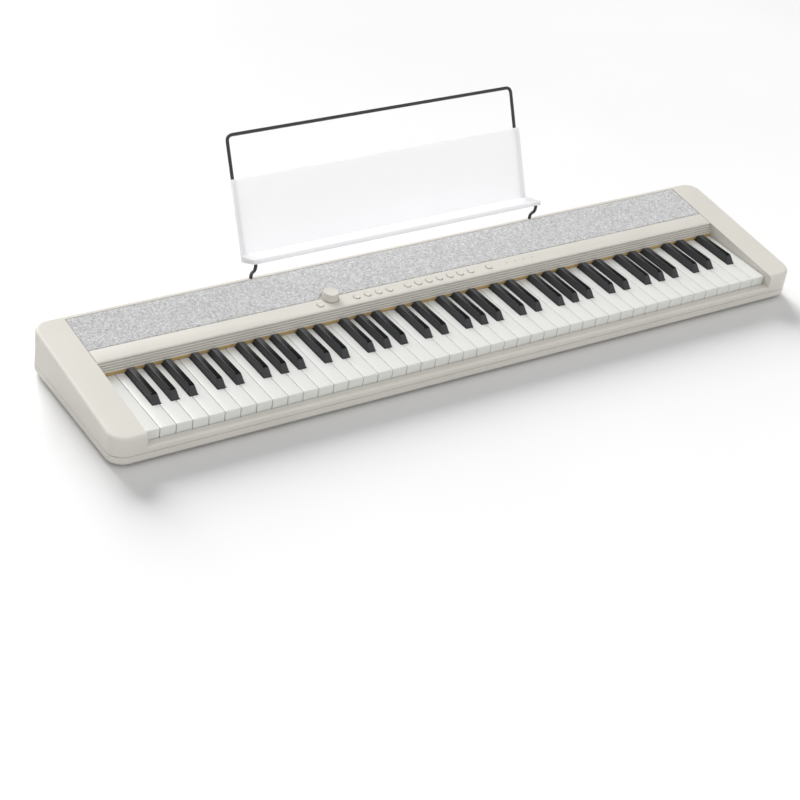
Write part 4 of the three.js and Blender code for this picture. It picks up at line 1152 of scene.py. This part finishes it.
def cloth_piece():
    """The stretched cloth: columns run from a front edge, which bows round the knob's seat, to the
    rear edge, and near each edge the cloth dips along a quarter circle."""
    knob = top_centre("volume_knob")
    seat = bpy.context.scene.piano_controls.knob_seat
    gap = bpy.context.scene.piano_case.trim_gap
    low_x, high_x = gap - P.strip_half, P.strip_half - gap
    turn = np.linspace(-np.pi / 2, np.pi / 2, 41)
    dip_at = P.cloth_front - knob[1]
    around = knob[0] + math.sqrt(seat**2 - dip_at**2) * np.sin(turn)
    plain = np.concatenate([
        np.linspace(low_x, around[0], 60)[:-1], np.linspace(around[-1], high_x, 120)[1:],
    ])
    roll = 1.0 * MM
    side = roll * (1 - np.cos(np.linspace(0, np.pi / 2, 6)))
    x = np.unique(np.concatenate([plain, around, low_x + side, high_x - side]))
    across = np.sqrt(np.maximum(seat**2 - (x - knob[0]) ** 2, 0))
    front = np.maximum(P.cloth_front, np.where(across > 0, knob[1] + across, P.cloth_front))
    inner = np.linspace(0, 1, 16)[1:-1]
    depth = P.cloth_rear - front
    near = side[None] + 0 * depth[:, None]
    middle = roll * 1.5 + inner[None] * (depth[:, None] - 3 * roll)
    y = front[:, None] + np.concatenate([near, middle, (depth[:, None] - side[None])[:, ::-1]], axis=1)
    from_edge = np.minimum(y - front[:, None], P.cloth_rear - y)
    from_edge = np.minimum(from_edge, np.minimum(x - low_x, high_x - x)[:, None])
    t = np.clip(1 - from_edge / roll, 0, 1)
    drop = roll * (1 - np.sqrt(np.maximum(1 - t**2, 0))) * 0.9
    xy = np.stack([np.broadcast_to(x[:, None], y.shape), y], axis=2).reshape(-1, 2)
    piece = put("speaker_fabric", sloped(xy, -drop.ravel() - 0.05 * MM), grid_faces(*y.shape), 80)
    face_up(piece)
    return piece


def push_button(body):
    """A turned cap: straight side, round edge, and a shallow dish in the top."""
    prop = bpy.context.scene.piano_controls
    r, proud, curl = prop.button_radius, prop.button_proud, 0.45 * MM
    rim = r - curl - 0.5 * MM
    edge = arc((r - curl, proud - curl), curl, 0, 90, 6)
    dish = np.linspace(1, 0, 6)[1:]
    dish_z = proud - prop.button_dish * (1 - dish**2)
    flange, under = r + 0.9 * MM, -2.8 * MM
    foot = under - 1.2 * MM
    profile = np.vstack([
        [(0, foot), (flange, foot), (flange, under), (r, under)],
        edge, [(rim, proud)], np.column_stack([rim * dish, dish_z]),
    ])
    centre = sloped([top_centre(body)])[0]
    return turned(f"{body}_cap", profile, centre, normal_of_top(), 48)


def knob_piece():
    """A turned knob: a shaft, a skirt, a lightly tapered side, a round top edge and a dished top."""
    prop = bpy.context.scene.piano_controls
    r0, r1, tall = prop.knob_skirt, prop.knob_top, prop.knob_tall
    curl = 1.0 * MM
    shaft, shaft_end, under = 3 * MM, -5.5 * MM, 0.6 * MM
    side = np.array([(0, shaft_end), (shaft, shaft_end), (shaft, under), (r0 - 0.4 * MM, under)])
    edge = arc((r1 - curl, tall - curl), curl, 4, 90, 8)
    rim = r1 - curl - 0.3 * MM
    dish = np.linspace(1, 0, 8)[1:]
    dish_z = tall - prop.knob_dish * (1 - dish**2)
    profile = np.vstack([
        side, [(r0, 1.0 * MM), (r0, 2.6 * MM)], edge, [(rim, tall)], np.column_stack([rim * dish, dish_z]),
    ])
    centre = sloped([top_centre("volume_knob")])[0]
    return turned("knob_cap", profile, centre, normal_of_top(), 96)


def lens_piece(name, x):
    """A low dome that stands just proud of the panel."""
    prop = bpy.context.scene.piano_controls
    y = top_centre("record_button")[1]
    r = prop.lens
    a = np.linspace(0, np.pi / 2, 5)
    sunk, proud, swell = -0.4 * MM, 0.12 * MM, 0.25
    dome = np.column_stack([r * np.cos(a), proud + swell * r * np.sin(a)])
    profile = np.vstack([[(0, sunk), (r, sunk)], dome])
    return turned(name, profile, sloped([(x, y)])[0], normal_of_top(), 20)


# ------------------------------------------------------------------ rear sockets


def collar_piece(name, centre):
    """A nut in the rear wall: a turned ring with a chamfered bore, its profile in millimetres."""
    profile = np.array([
        (2.9, -6.0), (4.0, -6.0), (4.0, 0.2), (3.8, 0.45), (3.5, 0.5), (3.15, 0.3), (2.9, -0.2), (2.9, -6.0),
    ]) * MM
    return turned(name, profile, centre, (0, 1, 0), 40)


# ------------------------------------------------------------------ music rest


class Rest:
    """The rest's own frame: up along the sheet, and out toward the player, from the corner where the
    sheet meets its ledge."""

    lean = math.radians(25)
    tall, thick = 107 * MM, 3 * MM
    depth, heel, front, lip = 36.5 * MM, 10.4 * MM, 6.4 * MM, 1.2 * MM
    gap, bend = 0.3 * MM, 9 * MM
    knee_inset, foot_rise, knee_rise, wire_tall = 14.1 * MM, 7.3 * MM, 17.3 * MM, 168 * MM

    def __init__(self):
        s, c = math.sin(self.lean), math.cos(self.lean)
        self.up = np.array([0, s, c])
        self.out = np.array([0, -c, s])
        high = span("music_rest_panel")[1]
        self.half = high[0]
        self.foot = np.array([0.0, high[1] - self.tall * s - self.thick * c, high[2] - self.tall * c])
        self.wire = bpy.context.scene.piano_rest.wire
        self.foot_y = P.case_high[1] - bpy.context.scene.piano_rest.foot_inset
        self.wire_x = span("music_rest_wire")[1][0] - self.wire
        self.wire_out = -self.thick - self.gap - self.wire
        self.wire_under = -self.heel + self.wire
        self.knee_y = P.case_high[1] - self.knee_inset
        self.knee_out = (self.foot[1] + self.wire_under * s - self.knee_y) / c

    def at(self, up, out):
        """Points from their heights up the sheet and distances out from it."""
        up, out = np.asarray(up, float), np.asarray(out, float)
        return self.foot + up[..., None] * self.up + out[..., None] * self.out


def rest_sheet_piece():
    """The sheet and its ledge with its lip and groove: one side outline with arcs at its free edges,
    carried along x, with two channels cut in the underside where the wire lies."""
    rest = Rest()
    t, d, h = rest.thick, rest.depth, rest.heel
    nose = -h + rest.front
    curl = 1.2 * MM
    inside = arc((curl, curl), curl, 180, 270, 6)[::-1]
    crest = arc((-t / 2, rest.tall - t / 2), t / 2, 0, 180, 10)
    outline = np.vstack([
        arc((-t + curl, -h + curl), curl, 180, 270, 6), arc((d - curl, -h + curl), curl, -90, 0, 6),
        [(d, nose), (d - 0.5 * MM, nose + rest.lip), (d - 1.6 * MM, nose + rest.lip)],
        [(d - 1.9 * MM, nose - 0.9 * MM), (d - 3.0 * MM, nose - 0.9 * MM), (d - 3.4 * MM, nose + 0.3 * MM)],
        inside, crest,
    ])
    placed = rest.at(outline[:, 1], outline[:, 0])
    made = bar("rest_sheet", placed[:, 1:], -rest.half, rest.half)
    reach = rest.wire + rest.gap
    ceiling = rest.wire_under + reach
    slope = rest.wire_out + rest.wire_under + rest.bend / 2 + math.sqrt(2) * (rest.wire + 4 * rest.gap)
    behind, below, end = -t - 2 * MM, -h - 2 * MM, rest.knee_out + reach
    cut = np.array([
        (behind, below), (end, below), (end, ceiling), (slope - ceiling, ceiling), (behind, slope - behind),
    ])
    side = rest.at(cut[:, 1], cut[:, 0])[:, 1:]
    cutters = [bar("channel", side, x - reach, x + reach) for x in (-rest.wire_x, rest.wire_x)]
    return soften(bore(made, cutters), bpy.context.scene.piano_rest.soft_edge, 3, 50)


def rounded_path(corners, radius, steps=12):
    """Corners joined by straight lines, each corner but the ends replaced by a quadratic bend."""
    corners = np.asarray(corners, float)
    before, at, after = corners[:-2], corners[1:-1], corners[2:]
    back, on = before - at, after - at
    back_length = np.linalg.norm(back, axis=1)
    on_length = np.linalg.norm(on, axis=1)
    most = 0.45
    reach = np.minimum(radius, most * np.minimum(back_length, on_length))
    enter = at + back / back_length[:, None] * reach[:, None]
    leave = at + on / on_length[:, None] * reach[:, None]
    t = np.linspace(0, 1, steps)[None, :, None]
    bends = (1 - t) ** 2 * enter[:, None] + 2 * t * (1 - t) * at[:, None] + t**2 * leave[:, None]
    return np.vstack([corners[:1], bends.reshape(-1, 3), corners[-1:]])


def rest_wire_piece():
    """A round section carried along the bent wire. The section's side direction is x on the legs and
    the sheet's normal on the top bar, so it never turns over."""
    rest = Rest()
    r, half = rest.wire, rest.wire_x
    case_top = P.top(P.case_high[1])
    foot_low = span("music_rest_wire")[0][2]
    leg = np.array([
        [0, rest.foot_y, foot_low], [0, rest.foot_y, case_top + rest.foot_rise],
        [0, rest.knee_y, case_top + rest.knee_rise], rest.at(rest.wire_under, rest.knee_out),
        rest.at(rest.wire_under, rest.wire_out), rest.at(rest.wire_tall, rest.wire_out),
    ])
    left, right = leg + [-half, 0, 0], leg + [half, 0, 0]
    path = rounded_path(np.vstack([left, right[::-1]]), rest.bend)
    tangent = np.gradient(path, axis=0)
    tangent /= np.linalg.norm(tangent, axis=1)[:, None]
    top = (np.abs(tangent[:, 0]) > 1e-3)[:, None]
    flip = np.where(path[:, :1] < 0, -1.0, 1.0)
    side_leg = np.cross(tangent, [1.0, 0.0, 0.0])
    side_leg /= np.maximum(np.linalg.norm(side_leg, axis=1), 1e-9)[:, None]
    side = np.where(top, rest.out, side_leg * flip)
    side = side - (side * tangent).sum(axis=1)[:, None] * tangent
    side /= np.linalg.norm(side, axis=1)[:, None]
    other = np.cross(tangent, side)
    angle = np.linspace(0, 2 * np.pi, 20, endpoint=False)
    ring = r * (np.cos(angle)[None, :, None] * side[:, None] + np.sin(angle)[None, :, None] * other[:, None])
    return lofted("rest_wire", path[:, None] + ring, 50)


# ------------------------------------------------------------------ operators


class PIANO_OT_stage(bpy.types.Operator):
    """Make the floor, the soft light and the camera."""

    bl_idname = "piano.stage"
    bl_label = "Stage"

    def execute(self, context):
        prop = context.scene.piano_stage
        make_camera(prop)
        make_room(prop)
        make_lights(prop, make_floor())
        return {"FINISHED"}


class PIANO_OT_case(bpy.types.Operator):
    """Make the case shell, the tray, the battery lid, the screws and the feet."""

    bl_idname = "piano.case"
    bl_label = "Case"

    def execute(self, context):
        prop = context.scene.piano_case
        collar_hole, wire_hole, screw_hole = 4.3 * MM, 2.85 * MM, 3.6 * MM
        wall_holes = [
            pin("hole", place, (0, 1, 0), collar_hole, 10 * MM) for place in socket_places().values()
        ]
        rest = Rest()
        mouth = P.top(rest.foot_y)
        rest_holes = [
            pin("hole", (x, rest.foot_y, mouth), (0, 0, 1), wire_hole, 12 * MM)
            for x in (-rest.wire_x, rest.wire_x)
        ]
        shell = bore(upper_shell(), wall_holes + rest_holes)
        dress(soften(shell, prop.soft_edge), "root", "case_plastic", finish("case_plastic"), "upper_case")
        screws = screw_places()
        tray_holes = [pin("hole", place, (0, 0, 1), screw_hole, 1.4 * MM) for place in screws]
        made = soften(bore(tray(), tray_holes), 0.4 * MM)
        dress(made, "root", "case_plastic", finish("case_plastic"), "lower_case")
        for n, place in enumerate(screws):
            screw = recessed_screw(f"case_screw_{n + 1}", place)
            dress(screw, "root", "speaker_metal", finish("bright_metal"))
        dress(battery_lid(), "battery_cover", "case_plastic", finish("case_plastic"), "battery_cover")
        for node in sorted(n for n in frame["nodes"] if n.startswith("foot_")):
            made = rubber_foot(node, f"rubber_{node}")
            dress(made, "root", "foot_rubber", finish("foot_rubber"), node)
        return {"FINISHED"}


class PIANO_OT_keys(bpy.types.Operator):
    """Make every white and black key, each on its own body or its octave's."""

    bl_idname = "piano.keys"
    bl_label = "Keys"

    def execute(self, context):
        blacks = black_keys()
        sample = span("key_c_sharp4")
        clearance = 1 * MM
        slot_half = (sample[1][0] - sample[0][0]) / 2 + clearance
        reach = slot_half * 1.6
        middles = np.array([x for x, _, _ in blacks])
        shoulder = sample[0][1] - clearance
        for number, left, letter, octave in white_keys():
            right = left + P.pitch - P.key_gap
            near_left = middles[np.abs(middles - left) < reach]
            near_right = middles[np.abs(middles - right) < reach]
            cuts = (
                near_left[0] + slot_half if len(near_left) else left,
                near_right[0] - slot_half if len(near_right) else right,
                shoulder,
            )
            body = key_body("white", letter, octave)
            made = soften(white_key(number, left, cuts), context.scene.piano_keys.soft_edge)
            dress(made, body, "white_key_plastic", finish("white_key_plastic"), body)
        for number, (x, letter, octave) in enumerate(blacks):
            body = key_body("black", letter, octave)
            made = black_key(number, x, sample)
            dress(made, body, "black_key_plastic", finish("black_key_plastic"), body)
        return {"FINISHED"}


class PIANO_OT_trim(bpy.types.Operator):
    """Make the felt, the ribbed strip, the control panel and the speaker cloth."""

    bl_idname = "piano.trim"
    bl_label = "Trim"

    def execute(self, context):
        dress(felt_piece(), "root", "felt", finish("felt"), "felt_strip")
        dress(louvre_piece(), "root", "rib_plastic", finish("rib_plastic"), "louvre_strip")
        dress(panel_piece(), "root", "case_plastic", finish("case_plastic"), "control_panel")
        cloth = dress(cloth_piece(), "root", "speaker_fabric", finish("speaker_fabric"), "speaker_cloth")
        return {"FINISHED"}


class PIANO_OT_controls(bpy.types.Operator):
    """Make the buttons, the volume knob and the indicator lenses."""

    bl_idname = "piano.controls"
    bl_label = "Controls"

    def execute(self, context):
        for body in button_names():
            dress(push_button(body), body, "case_plastic", finish("case_plastic"), body)
        dress(knob_piece(), "volume_knob", "case_plastic", finish("case_plastic"), "volume_knob")
        prop = context.scene.piano_controls
        first = top_centre("record_button")[0] + prop.lens_start
        for n in range(4):
            x = first + n * prop.lens_pitch
            lens = lens_piece(f"indicator_lens_{n + 1}", x)
            dress(lens, "root", "socket_plastic", finish("socket_plastic"))
        return {"FINISHED"}


class PIANO_OT_rest(bpy.types.Operator):
    """Make the music rest's sheet and wire."""

    bl_idname = "piano.rest"
    bl_label = "Music rest"

    def execute(self, context):
        dress(rest_sheet_piece(), "music_rest", "rest_sheet", finish("rest_sheet"), "music_rest_panel")
        dress(rest_wire_piece(), "music_rest", "rest_wire", finish("rest_wire"), "music_rest_wire")
        return {"FINISHED"}


class PIANO_OT_inside(bpy.types.Operator):
    """Give the sockets their collars and the parts inside their finishes."""

    bl_idname = "piano.inside"
    bl_label = "Sockets and insides"

    def execute(self, context):
        for name, place in socket_places().items():
            collar = collar_piece(f"{name}_collar", place)
            kind = "bright_metal" if name != "power" else "socket_plastic"
            dress(collar, "root", "socket_plastic", finish(kind))
        slots = {
            "jack_block": "socket_plastic", "power_inlet": "socket_plastic",
            "key_chassis": "inner_plastic", "speaker_baffle": "inner_plastic",
            "left_speaker": "speaker_metal", "right_speaker": "speaker_metal",
            "main_board": "circuit_board", "contact_board": "circuit_board",
        }
        for node, slot in slots.items():
            mesh = frame["nodes"][node].data
            mesh.materials.clear()
            mesh.materials.append(finish(slot))
        return {"FINISHED"}


# ------------------------------------------------------------------ stage


def make_camera(prop):
    """The camera stands back from its aim, turned by azimuth and elevation and then by roll."""
    a, e = -prop.azimuth, prop.elevation
    back = Vector((math.sin(a) * math.cos(e), -math.cos(a) * math.cos(e), math.sin(e)))
    data = bpy.data.cameras.new("camera")
    data.lens = prop.lens
    data.sensor_width = 36
    data.clip_start, data.clip_end = 0.05, 60.0
    made = bpy.data.objects.new("camera", data)
    bpy.context.scene.collection.objects.link(made)
    turn = (-back).to_track_quat("-Z", "Y").to_matrix() @ Matrix.Rotation(prop.roll, 3, "Z")
    made.matrix_world = Matrix.Translation(Vector(prop.aim) + back * prop.distance) @ turn.to_4x4()
    bpy.context.scene.camera = made


def make_floor():
    """A wide pale floor with a faint sheen, made of one square."""
    size = 9.0
    corners = np.array([[-1, -1, 0], [1, -1, 0], [1, 1, 0], [-1, 1, 0]]) * size
    floor = put("floor", corners, [[0, 1, 2, 3]])
    made = Finish("floor_finish", 0.16)
    made.paint(made.ramp(made.noise(2, 2), (0.97, 0.97, 0.97), (1.0, 1.0, 1.0)))
    made.set(IOR=1.5)
    floor.data.materials.append(made.material)
    return floor


def far_light(name, azimuth, elevation, spread, strength):
    """A soft light without falloff: azimuth is counted from straight behind the piano toward +X."""
    data = bpy.data.lights.new(name, "SUN")
    data.angle = math.radians(spread)
    data.energy = strength
    made = bpy.data.objects.new(name, data)
    bpy.context.scene.collection.objects.link(made)
    a, e = math.radians(azimuth), math.radians(elevation)
    source = Vector((math.sin(a) * math.cos(e), math.cos(a) * math.cos(e), math.sin(e)))
    made.location = source * 3
    made.rotation_mode = "QUATERNION"
    made.rotation_quaternion = (-source).to_track_quat("-Z", "Y")
    return made


def link_light(light, kind, pieces, state):
    """Ties the light to the pieces: kind "blocker" is for their shadows and "receiver" for its light
    on them, and state says whether only these pieces count (INCLUDE) or all but these (EXCLUDE)."""
    linked = bpy.data.collections.new(light.name + "_" + kind)
    setattr(light.light_linking, kind + "_collection", linked)
    for piece in pieces:
        linked.objects.link(piece)
    for entry in linked.collection_objects:
        entry.light_linking.link_state = state


def make_room(prop):
    """A white room that is brighter in front of the piano than behind it."""
    scene = bpy.context.scene
    scene.view_settings.view_transform = "Standard"
    scene.world = bpy.data.worlds.new("room")
    scene.world.use_nodes = True
    nodes, links = scene.world.node_tree.nodes, scene.world.node_tree.links
    place = nodes.new("ShaderNodeTexCoord")
    split = nodes.new("ShaderNodeSeparateXYZ")
    level = nodes.new("ShaderNodeMapRange")
    level.inputs["From Min"].default_value = -0.6
    level.inputs["From Max"].default_value = 0.6
    level.inputs["To Min"].default_value = prop.room_front
    level.inputs["To Max"].default_value = prop.room_behind
    links.new(place.outputs["Generated"], split.inputs["Vector"])
    links.new(split.outputs["Y"], level.inputs["Value"])
    background = nodes["Background"]
    background.inputs["Color"].default_value = (1.0, 1.0, 1.0, 1.0)
    links.new(level.outputs["Result"], background.inputs["Strength"])


def make_lights(prop, floor):
    """A low light from behind for the floor alone, so that the shadow falls long and forward, a higher one
    for the piano alone, and a wide fill from the front. The rest casts no shadow from the two lights behind."""
    rest = [made for made in bpy.data.objects if made.name.startswith("rest_")]
    low = far_light("floor_light", azimuth=8, elevation=19, spread=34, strength=prop.floor_light)
    key = far_light("key_light", azimuth=-6, elevation=38, spread=44, strength=prop.key_light)
    fill = far_light("fill_light", azimuth=180, elevation=25, spread=120, strength=prop.fill_light)
    for light, state in ((low, "INCLUDE"), (key, "EXCLUDE"), (fill, "EXCLUDE")):
        link_light(light, "receiver", [floor], state)
    for light in (low, key):
        link_light(light, "blocker", rest, "EXCLUDE")


# ------------------------------------------------------------------ panel and registration


GROUPS = {
    "piano_case": PianoCase, "piano_keys": PianoKeys, "piano_controls": PianoControls,
    "piano_rest": PianoRest, "piano_colours": PianoColours, "piano_stage": PianoStage,
}
OPERATORS = [
    PIANO_OT_case, PIANO_OT_keys, PIANO_OT_trim, PIANO_OT_controls, PIANO_OT_rest,
    PIANO_OT_inside, PIANO_OT_stage,
]


class PIANO_PT_sidebar(bpy.types.Panel):
    """Lists the properties and the operators in the 3D view's sidebar."""

    bl_label = "Piano"
    bl_idname = "PIANO_PT_sidebar"
    bl_space_type = "VIEW_3D"
    bl_region_type = "UI"
    bl_category = "Piano"

    def draw(self, context):
        for name, group in GROUPS.items():
            box = self.layout.box()
            for prop in group.__annotations__:
                box.prop(getattr(context.scene, name), prop)
        for operator in OPERATORS:
            self.layout.operator(operator.bl_idname)


def register():
    """Adds the classes, and one group of properties each to the scene."""
    for group in (*GROUPS.values(), *OPERATORS, PIANO_PT_sidebar):
        bpy.utils.register_class(group)
    for name, group in GROUPS.items():
        setattr(bpy.types.Scene, name, PointerProperty(type=group))


def unregister():
    """Takes away what register added."""
    for name in GROUPS:
        delattr(bpy.types.Scene, name)
    for group in reversed((*GROUPS.values(), *OPERATORS, PIANO_PT_sidebar)):
        bpy.utils.unregister_class(group)


def main():
    """Builds everything in order."""
    register()
    for operator in OPERATORS:
        call = getattr(bpy.ops.piano, operator.bl_idname.split(".")[1])
        if call() != {"FINISHED"}:
            raise RuntimeError(f"{operator.bl_label} didn't finish")


if __name__ == "__main__":
    main()
